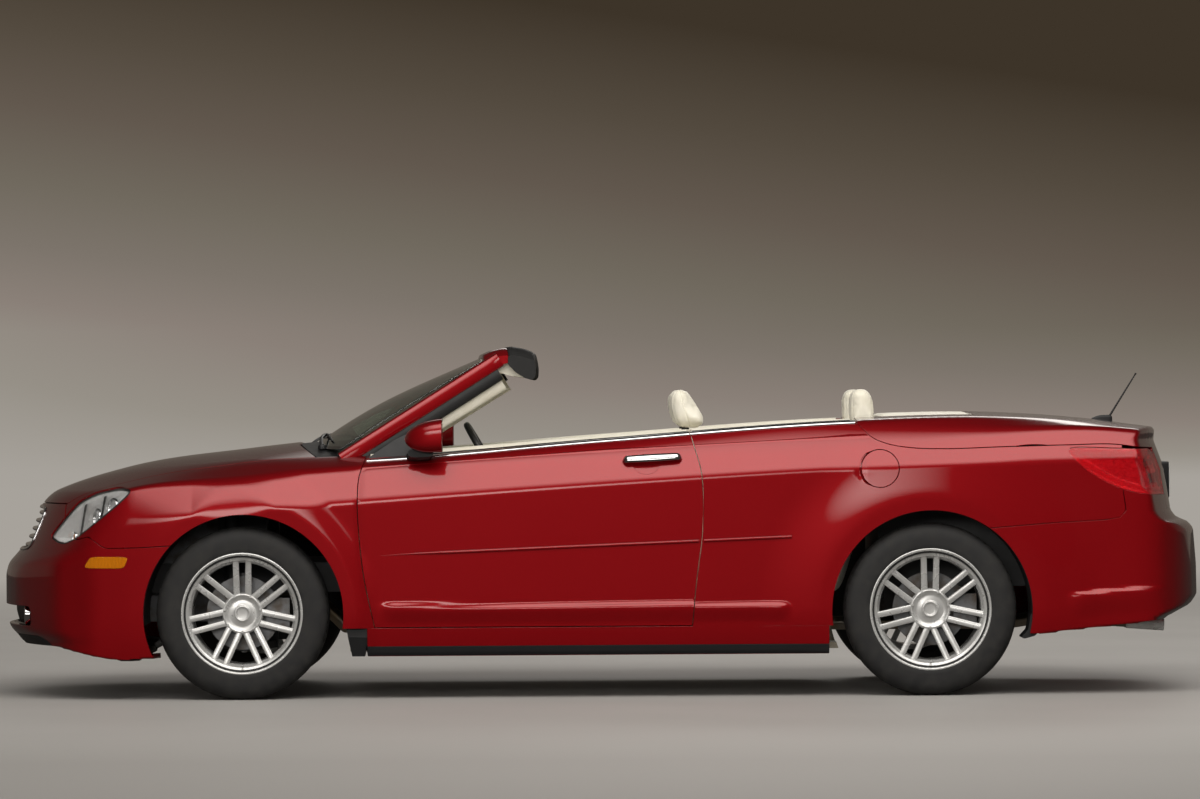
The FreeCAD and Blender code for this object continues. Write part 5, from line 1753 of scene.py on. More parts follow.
# Name, station, height and radius of each projector or bulb in the headlamp.
BULBS = (("low", -2052, 750, 33), ("high", -1974, 792, 30), ("turn", -2150, 672, 18))
for name, side in SIDES:
    settle(panel("headlamp_lens_" + name, head_chart, HEAD_CUTS, 4, side), LENS,
           replaces=["headlamps"])
    settle(patch("headlamp_bowl_" + name, head_chart, HEAD_CUTS, lamp_bowl, side), REFLECTOR)
    settle(patch("headlamp_bezel_" + name, head_chart, HEAD_CUTS
                 + [lambda p: in_headlamp(p) - 7.0], level(-6.0), side), PLASTIC)
    for k, bar_x in enumerate((-2094.0, -2012.0)):
        bar = patch(f"headlamp_bar_{name}_{k + 1}", head_chart, [
            lambda p: 5 - in_headlamp(p),
            lambda p: np.abs(p[:, 0] - bar_x - 0.12 * (p[:, 2] - 750)) - 5.0], level(-14.0), side)
        settle(bar, PLASTIC)
    for stem, x, z, radius in BULBS:
        path, normal = skin_path(np.array([x, x + 1.0]), np.array([z, z]))
        centre = path[0] - normal[0] * 44
        dome = bent(((radius * 1.25, 4), (radius * 1.22, 12), (radius * 1.08, 16), (radius, 8),
                     (radius * 0.97, 6)), 3.0)
        t = np.linspace(0, 1, 10) * np.pi / 2
        ball = np.stack([radius * 0.96 * np.cos(t), 6 + radius * 0.45 * np.sin(t)], 1)
        aim = Vector(normal[0] * (1, 1, 0.4) + (-0.8, 0, 0)).to_track_quat("Y", "Z").to_matrix()
        for part, profile, material in (("ring", dome, CHROME),
                                        ("dome", ball, AMBER if stem == "turn" else LENS)):
            form(f"headlamp_{stem}_{part}_{name}",
                 turned(profile, 40) @ np.array(aim).T + centre, material, side)
    settle(panel("tail_lens_" + name, tail_chart, TAIL_CUTS + [in_clear_part], 4, side), LENS_RED,
           replaces=["tail_lamps"])
    settle(panel("tail_clear_" + name, tail_chart, TAIL_CUTS + [lambda p: 0.4 - in_clear_part(p)],
                 4, side), LENS)
    settle(patch("tail_bowl_" + name, tail_chart, TAIL_CUTS + [in_clear_part], tail_bowl, side),
           PRISMS)
    settle(patch("tail_bowl_clear_" + name, tail_chart, TAIL_CUTS + [lambda p: -in_clear_part(p)],
                 tail_bowl, side), REFLECTOR)

amber_chart = side_patch_chart(-2110, -1860, 44, 515, 600, 18, -1750, 560)
AMBER_OUTLINE = rounded_outline(((-2078, 534), (-1914, 533), (-1896, 577), (-2050, 578)), 0.2)
for name, side in SIDES:
    marker = panel("side_marker_" + name, amber_chart, [
        lambda p: -outline_depth(p, AMBER_OUTLINE)], 3, side)
    marker.data.transform(Matrix.Translation((0, 0.0025 * SIGN[side], 0)))
    settle(marker, AMBER)
report("headlamps and tail lamps")

# %% [markdown]
# ## Grille and intake
#
# Chromed bars follow the curve of the nose across the opening, with a black screen behind them.

# %% Grille
def nose_arc(z, half_angle, inset, count=60):
    """Points on the nose at a height, moved inwards by inset."""
    angle = np.radians(np.linspace(-half_angle, half_angle, count))
    points = cast(xyz(NOSE_AXIS_X, 0 * angle, z), xyz(-np.cos(angle), np.sin(angle), 0.0))
    normal = skin_normal(points)
    return points - normal * inset, normal


def nose_bar(name, z, half_angle, inset, profile, material, **where):
    """A profile carried along the nose at one height."""
    return swept(name, carried(*nose_arc(z, half_angle, inset), profile), material, **where)


bar = half_round(15.0, 9.0, sink=8.0)
levels = np.linspace(GRILLE_LOW_Z + 22, GRILLE_HIGH_Z - 20, 5)
for k, z in enumerate(levels):
    nose_bar(f"grille_bar_{k + 1}", z, GRILLE_HALF_ANGLE + 0.4, 14.0, bar, CHROME,
             replaces=["grille"] if k == 0 else ())
for stem, low, high, rows, half_angle, columns, depth in (
        ("grille", GRILLE_LOW_Z, GRILLE_HIGH_Z, 26, GRILLE_HALF_ANGLE, 70, 34),
        ("intake", INTAKE_LOW_Z, INTAKE_HIGH_Z, 18, INTAKE_HALF_ANGLE, 80, 42)):
    back = end_chart(NOSE_AXIS_X, low - 14, high + 14, rows, half_angle + 1.2, columns, -1)
    settle(grid_object(stem + "_screen", back - skin_normal(back) * depth), MESH_BLACK)
turn = around(120)
edge_angle = np.radians(GRILLE_HALF_ANGLE * power(np.cos(turn), 0.28))
edge_z = ((GRILLE_LOW_Z + GRILLE_HIGH_Z) / 2
          + (GRILLE_HIGH_Z - GRILLE_LOW_Z) / 2 * power(np.sin(turn), 0.28))
edge = cast(xyz(NOSE_AXIS_X, 0.0, edge_z), xyz(-np.cos(edge_angle), np.sin(edge_angle), 0.0))
edge_normal = skin_normal(edge)
edge_along = np.roll(edge, -1, 0) - np.roll(edge, 1, 0)
edge_along /= np.linalg.norm(edge_along, axis=1, keepdims=True)
edge_across = np.cross(edge_along, edge_normal)
surround = (edge[:, None] + edge_normal[:, None] * (1 + 5 * np.cos(around(12)))[:, None]
            + edge_across[:, None] * (7 * np.sin(around(12)))[:, None])
settle(fix_normals(grid_object("grille_surround", surround, wrap_rows=True, wrap_columns=True)),
       CHROME)
for name, side in SIDES:
    path, normal = nose_arc(333.0, 21.5, 26.0, 3)
    aim = np.array(Vector((-1, 0, 0)).to_track_quat("Y", "Z").to_matrix())
    for part, profile, material in (
            ("ring", bent(((42, -16), (42, 4), (36, 8), (33, 0)), 2.0), CHROME),
            ("lens", ((33, 0), (24, 5), (12, 8), (0, 9)), LENS)):
        form(f"fog_lamp_{part}_{name}", turned(profile, 40) @ aim.T + path[0], material, side)
report("grille")

# %% [markdown]
# ## Dashboard and steering wheel
#
# A soft dark pad covers the top of the dashboard and rises into a hood over the dials. Below it
# the cream lower half carries a satin centre stack, round vents and the glove box lid.

# %% Dashboard
DRIVER_Y = 370.0
DASH_HALF = 697.0


def tube_across(name, sections, y, material, **where):
    """Closed (x, z) sections, one for each y, as a solid that runs across the car."""
    y = np.asarray(y, float)[:, None]
    swept(name, xyz(sections[..., 0], y, sections[..., 1]), material, 42, **where)


dash_y = np.linspace(-DASH_HALF, DASH_HALF, 101)
pad_plain = loop(((-988, 900), (-988, 962), (-880, 988), (-745, 970), (-690, 942), (-668, 918),
                  (-656, 890), (-668, 858), (-720, 850), (-988, 860)), 12.0)
pad_driver = loop(((-988, 900), (-988, 962), (-880, 992), (-745, 1012), (-648, 1004), (-660, 988),
                   (-738, 964), (-730, 872), (-700, 852), (-988, 860)), 12.0)
hooded = np.exp(-((dash_y + DRIVER_Y) / 172.0) ** 6)[:, None, None]
tube_across("dash_pad", pad_plain + (pad_driver - pad_plain) * hooded, dash_y, DASH_DARK,
            replaces=["dashboard"])

lower = loop(((-986, 562), (-986, 856), (-720, 846), (-672, 838), (-662, 800), (-700, 690),
              (-742, 566), (-790, 562)), 18.0, 6)
lower_rings = np.broadcast_to(lower, (len(dash_y),) + lower.shape).copy()
knee_side = smooth_step(lower[:, 0], -780, -690)
lower_rings[..., 0] -= 26 * np.exp(-((dash_y + DRIVER_Y) / 190.0) ** 6)[:, None] * knee_side
tube_across("dash_lower", lower_rings, dash_y, TRIM_CREAM)
band = loop(((-700, 832), (-655, 838), (-646, 856), (-652, 872), (-700, 870)), 5.0, 4)
for k, (low, high) in enumerate(((-690.0, -545.0), (-195.0, 690.0))):
    tube_across(f"dash_band_{k + 1}", np.broadcast_to(band, (40,) + band.shape),
                np.linspace(low, high, 40), SATIN)
report("dashboard")

# %% [markdown]
# ## Controls on the dashboard
#
# The stack is one satin panel with a screen, knobs and keys on it. The vents are rings with
# slats across them. All come from rounded boxes and turned profiles, tilted to the panel.

# %% Centre stack, vents and glove box
STACK_TILT = -6.0


def on_stack(points, y, z):
    """Places points on the face of the centre stack."""
    return placed(points, (-643 - (z - 735) * 0.105, y, z), tilt=STACK_TILT)


form("centre_stack", placed(rounded_box((62, 204, 236), 0.16, 40, 60), (-674, 0, 735),
                            tilt=STACK_TILT), SATIN)
form("centre_screen", on_stack(rounded_box((10, 166, 84), 0.14), 0, 780), PLASTIC)
knob = turned(bent(((0, 20), (15, 20), (18, 16), (18, 2), (21, 0)), 2.0), 36, axis=0)
for k, y in enumerate((-62.0, 0.0, 62.0)):
    form(f"climate_knob_{k + 1}", on_stack(knob, y, 652), PLASTIC)
bundle("stack_buttons", [on_stack(rounded_box((8, 27, 12), 0.25, 10, 16), y, z) for z in (716, 698)
                         for y in np.linspace(-70, 70, 5)], PLASTIC)

vent_ring = turned(bent(((45, -4), (48, 6), (42, 10), (37, 6), (34, -12), (0, -14)), 3.0), 48,
                   axis=0)
for k, (y, z) in enumerate(((-150, 800), (150, 800), (-628, 800), (628, 800))):
    form(f"vent_ring_{k + 1}", placed(vent_ring, (-659, y, z)), SATIN)
    slats = [placed(rounded_box((14, 2 * math.sqrt(34.0 ** 2 - up ** 2), 4), 0.3, 8, 16),
                    (-661, y, z + up), tilt=12) for up in np.linspace(-24, 24, 5)]
    bundle(f"vent_slats_{k + 1}", slats, PLASTIC)
form("glove_box_lid", placed(rounded_box((16, 400, 150), 0.14, 30, 50), (-696, 370, 708), tilt=19),
     TRIM_CREAM)
form("glove_box_latch", placed(rounded_box((12, 70, 16), 0.3), (-668, 370, 766), tilt=19), SATIN)
report("centre stack, vents and glove box")

# %% [markdown]
# ## Instruments
#
# Three dials sit under the hood, each a bezel, a pale face and a scale. The marks are small
# blocks turned about the dial's middle, so they stay sharp from close by, unlike an image.

# %% Dials
DIALS = ((-84.0, 38.0), (0.0, 31.0), (84.0, 38.0))      # across from the middle, radius


def turned_by_degrees(points, degrees):
    """Points turned in the dial's own plane, which faces along x."""
    c, s = math.cos(math.radians(degrees)), math.sin(math.radians(degrees))
    x, y, z = np.moveaxis(points, -1, 0)
    return xyz(x, y * c - z * s, y * s + z * c)


def on_dials(points, y=0.0):
    return placed(points + np.array((0, y, 0)), (-727, -DRIVER_Y, 915), tilt=-10)


form("dial_panel", on_dials(rounded_box((14, 300, 84), 0.3)), PLASTIC)
for k, (y, radius) in enumerate(DIALS):
    ring = turned(bent(((radius, 4), (radius + 3, 12), (radius - 1, 14), (radius - 3, 8)), 1.5),
                  60, axis=0)
    face = turned(((0, 9), (radius * 0.5, 9), (radius - 2, 9)), 60, axis=0)
    form(f"dial_ring_{k + 1}", on_dials(ring, y), CHROME)
    form(f"dial_face_{k + 1}", on_dials(face, y), PLATE)
    marks = [on_dials(turned_by_degrees(
        rounded_box((1.5, 2.0, 7.0), 0.3, 6, 8) + (10, 0, radius - 8), degrees), y)
        for degrees in np.linspace(-130, 130, 21)]
    marks.append(on_dials(turned_by_degrees(
        rounded_box((2.0, 3.0, radius * 0.8), 0.3, 6, 8) + (12, 0, radius * 0.3), 125), y))
    bundle(f"dial_marks_{k + 1}", marks, PLASTIC)
report("dials")

# %% [markdown]
# ## Steering wheel
#
# A leather rim on four spokes with a padded hub. The rim is a torus, worked out as a grid that
# closes both ways. Rim, hub and spokes ride on the steering wheel's own body, so they turn with
# it, while the column's cover and stalks stay where they are.

# %% Steering wheel
# The wheel is built flat, facing +z with -x at its top, and then tilted onto its column.
WHEEL_CENTRE = (-456.0, -DRIVER_Y, 945.0)
WHEEL_TILT = 60.0
RIM_MIDDLE = 174.0
RIM_THICK = 13.5


def on_column(name, points, material, body="steering_wheel", wrap_rows=False, **where):
    piece = grid_object(name, placed(points, WHEEL_CENTRE, tilt=WHEEL_TILT),
                        wrap_rows=wrap_rows, wrap_columns=True)
    return settle(crisp(fix_normals(piece), 45), material, body, **where)


turn = around(120)
section_turn = around(20)
across = RIM_MIDDLE + RIM_THICK * np.cos(section_turn) + 0 * turn[:, None]
rim_points = xyz(across * np.cos(turn)[:, None], across * np.sin(turn)[:, None],
                 RIM_THICK * np.sin(section_turn))
on_column("wheel_rim_leather", rim_points, WHEEL_LEATHER, replaces=["steering_wheel"],
          wrap_rows=True)
pad_radius = np.array((0, 20, 38, 52, 60, 62, 58, 44, 0.1))
pad_height = np.array((20, 19.5, 17, 11, 1, -12, -26, -36, -38))
pad_points = turned(np.stack([pad_radius, pad_height], 1), 60, axis=2)
pad_points[..., 0] *= 0.86
on_column("wheel_hub_pad", pad_points, WHEEL_LEATHER)
for k, angle in enumerate((72.0, -72.0, 150.0, -150.0)):
    t = np.linspace(0, 1, 18)[:, None]
    along = 44 + (RIM_MIDDLE - 50) * t
    width = (19 - 7 * t) * np.cos(section_turn)
    rise = -4 + 4 * t ** 2 + 6.5 * power(np.sin(section_turn), 0.6)
    c, s = -math.cos(math.radians(angle)), math.sin(math.radians(angle))
    points = xyz(along * c - width * s, along * s + width * c, rise)
    on_column(f"wheel_spoke_{k + 1}", points, SATIN, slot="alloy")
cover = turned(bent(((0.1, -330), (40, -330), (45, -200), (42, -70), (34, -50), (0.1, -49)), 8.0),
               40, axis=2)
on_column("column_cover", cover, DASH_DARK, body="car_body")
for k, sign in enumerate((-1, 1)):
    t = np.linspace(0, 1, 16)[:, None]
    thick = 5.5 + 3.5 * smooth_step(t, 0.55, 0.75)
    points = xyz(thick * np.cos(section_turn) - 12 * t, sign * (36 + 104 * t),
                 -78 + thick * np.sin(section_turn) + 12 * t ** 2)
    swept(f"column_stalk_{k + 1}", placed(points, WHEEL_CENTRE, tilt=WHEEL_TILT), PLASTIC)
for k, (y, width) in enumerate(((-405.0, 74.0), (-300.0, 50.0))):
    form(f"pedal_pad_{k + 1}", placed(rounded_box((14, width, 58), 0.3), (-835, y, 452), tilt=-32),
         RUBBER)
    form(f"pedal_arm_{k + 1}", placed(rounded_box((12, 12, 190), 0.5), (-862, y, 545), tilt=-14),
         STRUCTURE)
report("steering wheel")

# %% [markdown]
# ## Console
#
# The console runs from the dashboard to the rear seat between two cheeks, with a sunk tray for
# cups and the shift lever in its boot. Its padded lid comes with the seats.

# %% Centre console
core = loop(((-738, 330), (-738, 600), (-640, 634), (-610, 630), (-420, 556), (-212, 556),
             (-206, 508), (-44, 508), (-38, 556), (376, 556), (416, 330)), 14.0)
cheek = loop(((-738, 330), (-738, 602), (-640, 638), (-600, 630), (-420, 560), (376, 560),
              (416, 330)), 14.0)
tube_across("console_core", np.broadcast_to(core, (4,) + core.shape), (-80, -20, 20, 80),
            TRIM_CREAM, replaces=["center_console"])
for name, side in SIDES:
    across = np.array((80, 84, 96, 102, 105.0)) * SIGN[side]
    inset = np.array((1.5, 0, 0, 3.0, 9.0))[:, None, None]
    middle = cheek.mean(0)
    shrunk = cheek - np.sign(cheek - middle) * inset * np.array((0.6, 1.0))
    tube_across("console_cheek_" + name, shrunk, across, TRIM_CREAM)
cup_wall = turned(bent(((31, 2), (34, 46), (37, 48), (40, 46), (38, 0)), 2.0), 40, axis=2)
for k, x in enumerate((-166.0, -84.0)):
    form(f"cup_holder_{k + 1}", placed(cup_wall, (x, 0, 508)), PLASTIC)
form("shift_plate", placed(rounded_box((170, 92, 10), 0.2), (-318, 0, 558)), SATIN)
t = np.linspace(0, 1, 30)[:, None]
fold_turn = around(48)
boot = 34 - 24 * t ** 0.8 + 2.4 * np.sin(t * np.pi * 9) * (1 - t)
boot_points = xyz(boot * np.cos(fold_turn), 0.8 * boot * np.sin(fold_turn), 66 * t)
form("shift_boot", placed(boot_points, (-318, 0, 561), tilt=6), WHEEL_LEATHER)
lever = turned(bent(((5, 30), (5, 92), (12, 98), (19, 112), (20, 130), (12, 142), (0.1, 144)),
                    5.0), 32, axis=2)
form("shift_lever", placed(lever, (-318, 0, 561), tilt=6), SATIN)
form("hand_brake", placed(rounded_box((210, 26, 24), 0.5), (-60, 62, 584), tilt=-8), WHEEL_LEATHER)
report("centre console")

# %% [markdown]
# ## Door and side trims
#
# The CAD trims keep their shape. On them lie a leather insert, an armrest, a pull and a speaker
# grille, each a low form raised from the wall, which is a fixed depth inside the skin.

# %% Pads raised from the cabin wall
CABIN_WALL = 105.0


def wall_y(x, z):
    return skin_path(x, z)[0][..., 1] + CABIN_WALL


def wall_pad(name, x_span, z_span, rise, material, body="car_body", side=0, square=9.0):
    """A pillow on the cabin wall: its rise falls to nothing at an oblong's rounded edge."""
    u, v = np.meshgrid(np.linspace(-1, 1, 48), np.linspace(-1, 1, 30), indexing="ij")
    x = (x_span[0] + x_span[1]) / 2 + (x_span[1] - x_span[0]) / 2 * u
    z = (z_span[0] + z_span[1]) / 2 + (z_span[1] - z_span[0]) / 2 * v * (1 - 0.04 * u ** 4)
    lift = ((1 - np.abs(u) ** square) * (1 - np.abs(v) ** square)) ** 0.6
    points = xyz(x, wall_y(x, z) - 3 + (rise + 3) * lift, z)
    piece = grid_object(name, on_side(points, side))
    if piece.data.polygons[len(piece.data.polygons) // 2].normal.y * (1 - 2 * side) < 0:
        piece.data.flip_normals()
    return settle(piece, material, body)


def wall_disc(name, x, z, radius, rise, material, side=0, **where):
    """A low round cover on the cabin wall, for a speaker."""
    share = np.linspace(0.02, 1, 14)[:, None]
    x, z = x + radius * share * np.cos(around(48)), z + radius * share * np.sin(around(48))
    lift = np.clip((1 - share ** 12), 0, 1) ** 0.5 * rise - 2 * (share > 0.99)
    points = xyz(x, wall_y(x, z) + lift, z)
    piece = grid_object(name, on_side(points, side), wrap_columns=True)
    return settle(crisp(fix_normals(piece), 60), material, **where)


for name, side in SIDES:
    door = "door_" + name
    wall_pad("door_insert_" + name, (-640, 330), (742, 872), 11, LEATHER, body=door, side=side)
    wall_pad("door_armrest_" + name, (-430, 330), (640, 716), 62, LEATHER, body=door, side=side,
             square=5.0)
    wall_pad("door_pocket_" + name, (-560, 240), (356, 500), 20, TRIM_CREAM, body=door, side=side)
    wall_disc("door_speaker_" + name, -735, 450, 82, 9, MESH_BLACK, body=door, side=side)
    x = np.linspace(-560, -440, 26)
    z = np.full_like(x, 800.0) - 14 * np.cos(np.linspace(-1, 1, 26) * np.pi / 2)
    arch = 34 * np.clip(1 - np.abs(np.linspace(-1, 1, 26)) ** 4, 0, 1) ** 0.7
    line = xyz(x, wall_y(x, z) + 4 + arch, z)
    rings = carried(line, np.broadcast_to((0.0, 1.0, 0.0), line.shape),
                    [(7 * math.sin(a), 7 * math.cos(a))
                     for a in np.linspace(0, 2 * np.pi, 16)[:-1]], side)
    swept("door_pull_" + name, rings, SATIN, body=door)
    switches = [placed(rounded_box((34, 26, 10), 0.3), (x_at, float(wall_y(
        np.array([x_at, x_at + 1.0]), np.array([690.0, 690.0]))[0]) + 30, 719))
        for x_at in (-372.0, -326.0)]
    bundle("window_switches_" + name, switches, PLASTIC, body=door, side=side)
    wall_pad("quarter_insert_" + name, (450, 900), (742, 900), 11, LEATHER, side=side)
    wall_pad("quarter_armrest_" + name, (460, 860), (610, 690), 46, LEATHER, side=side, square=5.0)
    wall_disc("quarter_speaker_" + name, 560, 520, 62, 8, MESH_BLACK, side=side)
report("pads raised from the cabin wall")

# %% [markdown]
# ## Rear-view mirror
#
# A black housing with a pane, hung from the header on a short stem. The pane is a thin rounded
# box that stands a little out of the housing.

# %% Rear-view mirror
form("inner_mirror_shell", placed(rounded_box((34, 240, 62), 0.5), (-590, -10, 1266), tilt=6),
     PLASTIC)
form("inner_mirror_glass", placed(rounded_box((4, 222, 50), 0.4), (-573, -10, 1265), tilt=6),
     MIRROR_GLASS)
stem = np.linspace(0, 1, 12)[:, None]
stem_turn = around(16)
stem_points = xyz(-600 - 18 * stem + 7 * np.cos(stem_turn), 7 * np.sin(stem_turn),
                  1270 + 42 * stem)
form("inner_mirror_stem", stem_points, PLASTIC)
report("rear-view mirror")

# %% [markdown]
# ## Small outside parts
#
# Wipers, rear plate, aerial, exhaust tips, flaps behind the rear wheels, and the hard cover over
# the folded roof, which follows the crown of the body.

# %% Wipers
cos_s, sin_s = np.cos(section_turn), np.sin(section_turn)
for k, (pivot_y, reach) in enumerate(((-480.0, 560.0), (100.0, 500.0))):
    t = np.linspace(0, 1, 36)
    line = screen_point(pivot_y + reach * t, 1040 + 16 * np.sin(np.pi * t) + 8 * t, -16.0)
    size = 0.55 + 0.45 * np.sin(np.pi * np.clip(t, 0.05, 0.95))
    rings = line[:, None] + xyz(7 * cos_s, 0.0, 6 * sin_s) * size[:, None, None]
    swept(f"wiper_blade_{k + 1}", rings, RUBBER, replaces=["wipers"])
    t = np.linspace(0, 1, 24)[:, None]
    start = screen_point(np.array([pivot_y - 40]), np.array([1006.0]), -14.0)[0]
    end = screen_point(np.array([pivot_y + reach * 0.5]), np.array([1062.0]), -26.0)[0]
    line = start + (end - start) * t + np.sin(np.pi * t) * (-10, 0, 12)
    rings = line[:, None] + xyz((9 - 4 * t) * cos_s, 0.0, 5 * sin_s)
    swept(f"wiper_arm_{k + 1}", rings, PLASTIC)
    cap = turned(bent(((0.1, 16), (12, 15), (16, 8), (17, -6), (0.1, -7)), 3.0), 32,
                 start + (0, 0, 2), axis=2)
    form(f"wiper_pivot_{k + 1}", cap, PLASTIC)
report("wipers and cowl")

# %% [markdown]
# ## Plate, aerial and exhaust tips
#
# The blank plate lies in a holder with a pressed bead round its edge. Each of its parts is a
# stack of rounded rectangles, which gives a sloped rim for little geometry. The aerial's mast is
# a tapered tube with the fine winding that stops it from whistling.

# %% Plate, aerial and exhaust tips
PLATE_X = 2345.0


def oblong_loop(half_y, half_z, corner):
    """A rounded rectangle of points in the plane across the car."""
    out = []
    for centre_y, centre_z, start in ((1, 1, 0), (-1, 1, 90), (-1, -1, 180), (1, -1, 270)):
        turn = np.radians(np.linspace(start, start + 90, 12))
        out.append(np.stack([centre_y * (half_y - corner) + corner * np.cos(turn),
                             centre_z * (half_z - corner) + corner * np.sin(turn)], -1))
    return np.concatenate(out)


def oblong_stack(name, centre, levels, material, corner=10.0, **where):
    """Loops of (x, half width, half height) joined from the first to the last, ends closed."""
    rings = []
    for x, half_y, half_z in levels:
        loop = oblong_loop(half_y, half_z, min(corner, half_z * 0.9, half_y * 0.9))
        rings.append(xyz(x, loop[:, 0], loop[:, 1]))
    return swept(name, np.stack(rings) + np.asarray(centre, float), material, 35, **where)


# Name, distance behind PLATE_X, loops, material and corner radius.
for name, back, levels, material, corner in (
        ("holder", -25, ((0, 152, 75), (30, 152, 75), (35, 151, 74), (36, 149, 72)), PLASTIC, 9.0),
        ("sheet", 11, ((0, 147, 70), (1.2, 147.5, 70.5), (2.0, 147, 70)), PLATE, 7.0),
        ("bead", 13, ((-0.5, 141, 64), (1.0, 140, 63), (1.0, 138, 61), (-0.3, 137, 60)), PLATE,
         6.0)):
    oblong_stack("plate_" + name, (PLATE_X + back, 0, 851), levels, material, corner,
                 body="deck_lid", replaces=["rear_plate"] if name == "holder" else ())
screw = turned(bent(((0.1, 4), (4, 3.6), (6.5, 0), (6.5, -1)), 1.2), 24, axis=0)
bundle("plate_screws", [placed(screw, (PLATE_X + 13, y, 912)) for y in (-88.9, 88.9)], CHROME,
       body="deck_lid")

base = rounded_box((86, 30, 40), 0.42, 24, 40)
base[..., 2] *= 1 - 0.35 * smooth_step(base[..., 0], 0, -43)
form("aerial_base", placed(base, (2092, 0, 1100), tilt=-2), PLASTIC, body="deck_lid",
     replaces=["antenna_mast"])
t = np.linspace(0, 1, 60)
mast = np.array((2122.0, 0, 1112)) + np.array((113.0, 0, 181.0)) * t[:, None]
thick = 4.2 - 1.6 * t + 0.5 * np.sin(t * np.pi * 40) * (t > 0.1) + 1.6 * (t > 0.97)
rings = mast[:, None] + thick[:, None, None] * (
    np.cos(section_turn)[None, :, None] * np.array((0.85, 0, -0.53))
    + np.sin(section_turn)[None, :, None] * np.array((0, 1.0, 0)))
swept("aerial_mast", rings, PLASTIC, body="deck_lid")

tip = turned(bent(((17, -150), (24, -146), (24.5, 4), (23, 8), (21, 4), (20.5, -60), (0.1, -62)),
                  2.0), 48, axis=0)
for k, y in enumerate((-540.0, -480.0)):
    form(f"exhaust_tip_{k + 1}", placed(tip, (2286, y, 267), tilt=4), ALLOY, slot="chrome")
report("plate, aerial and exhaust tips")

# %% [markdown]
# ## Flaps behind the rear wheels
#
# A moulded plastic piece fills the corner between the sill and the bumper. It is one profile
# in side view, drawn out across the car.

# %% Flaps behind the rear wheels
flap = loop(((1752, 300), (1757, 252), (1744, 238), (1700, 226), (1688, 232), (1716, 262),
             (1728, 330)), 8.0)
for name, side in SIDES:
    rings = np.stack([xyz(flap[:, 0], y, flap[:, 1]) for y in (-884.0, -872.0, -740.0, -728.0)])
    swept("rear_flap_" + name, rings, PLASTIC, 35, side)
report("flaps behind the rear wheels")

# %% [markdown]
# ## Cover over the folded roof
#
# The folded roof lies under a hard cover trimmed in hide. It is cast from the same envelope as
# the panels, so it follows their crown, with its edge drawn down and two seams pressed in.

# %% Cover over the folded roof
COVER = np.array((1150.0, 1517.0, 604.0))      # front, rear, half-width


def cover_grid(drop):
    """The cover's top: the body's own crown, drawn down over a rounded edge."""
    u, v = np.meshgrid(np.linspace(-1, 1, 26), np.linspace(-1, 1, 64), indexing="ij")
    x = (COVER[0] + COVER[1]) / 2 + (COVER[1] - COVER[0]) / 2 * u
    y = COVER[2] * v
    start = xyz(x, y * 0.9, 700.0)
    top = cast(start, xyz(x, y, 1120.0) - start, 900.0)
    edge = np.minimum((1 - np.abs(u)) * (COVER[1] - COVER[0]) / 2, (1 - np.abs(v)) * COVER[2])
    top[..., 0], top[..., 1] = x, y
    seams = -2.2 * np.exp(-((np.abs(y) - 330) / 4.0) ** 2)
    top[..., 2] += -2.0 - 9.0 * (1 - smooth_step(edge, 0, 10)) + seams + drop
    return top


cover = sheet_pair("roof_cover", cover_grid(0.0), cover_grid(-14.0))
settle(crisp(cover, 50), LEATHER, replaces=["tonneau_panel"], slot="cream_trim")
report("cover over the folded roof")

# %% [markdown]
# ## Inner sills
#
# Carpet climbs the inner side of the sill, and a metal plate guards its top where feet pass.
# Both are open sheets, because only one face of them is ever seen.

# %% Inner sills
# Name, rows of (y, height) across the piece, material, and its span along the car.
SILL_SHEETS = (
    ("carpet", ((-779, 190), (-776, 262), (-780, 282), (-786, 288), (-800, 288)), CARPET,
     (-895, 905)),
    ("scuff_plate", ((-806, 287), (-812, 290.5), (-850, 290.5), (-856, 287)), SATIN,
     (-640, 240)))
for name, side in SIDES:
    for stem, rows, material, span in SILL_SHEETS:
        points = xyz(np.linspace(*span, 60)[:, None], *np.array(rows, float).T)
        settle(grid_object(f"sill_{stem}_{name}", on_side(points, side)), material)
report("inner sills")

# %% [markdown]
# ## Seats
#
# Each cushion starts as a closed form with bolsters, slightly smaller than the finished pad. The
# cover is then blown up by a cloth simulation, with the movement capped, and the seams and sewn
# channels are drawn in afterwards. Left and right seats are mirror images, so one is simulated.

# %% Cushion forms and simulation
SEAT_Y = 370.0
SEAT_HALF = 255.0
INSERT_HALF = 142.0       # from a seat's middle to the seam beside its bolster


def pillow_rings(profile, half, edge, count=46):
    """A closed (x, z) profile carried across from -half to half, drawn in at both ends.

    Near the ends the profile shrinks towards its middle by edge * (1 - sqrt(1 - t^2)).
    """
    profile = np.asarray(profile, float)
    y = half * np.sin(np.linspace(-np.pi / 2, np.pi / 2, count))
    t = np.clip((np.abs(y) - (half - edge)) / edge, 0, 1)
    inset = edge * (1 - np.sqrt(np.clip(1 - t ** 2, 0, 1)))
    middle = profile.mean(0)
    reach = np.linalg.norm(profile - middle, axis=1)
    share = np.clip(1 - inset[:, None] / reach, 0.15, 1)
    rings = middle + (profile - middle) * share[..., None]
    return xyz(rings[..., 0], y[:, None], rings[..., 1])


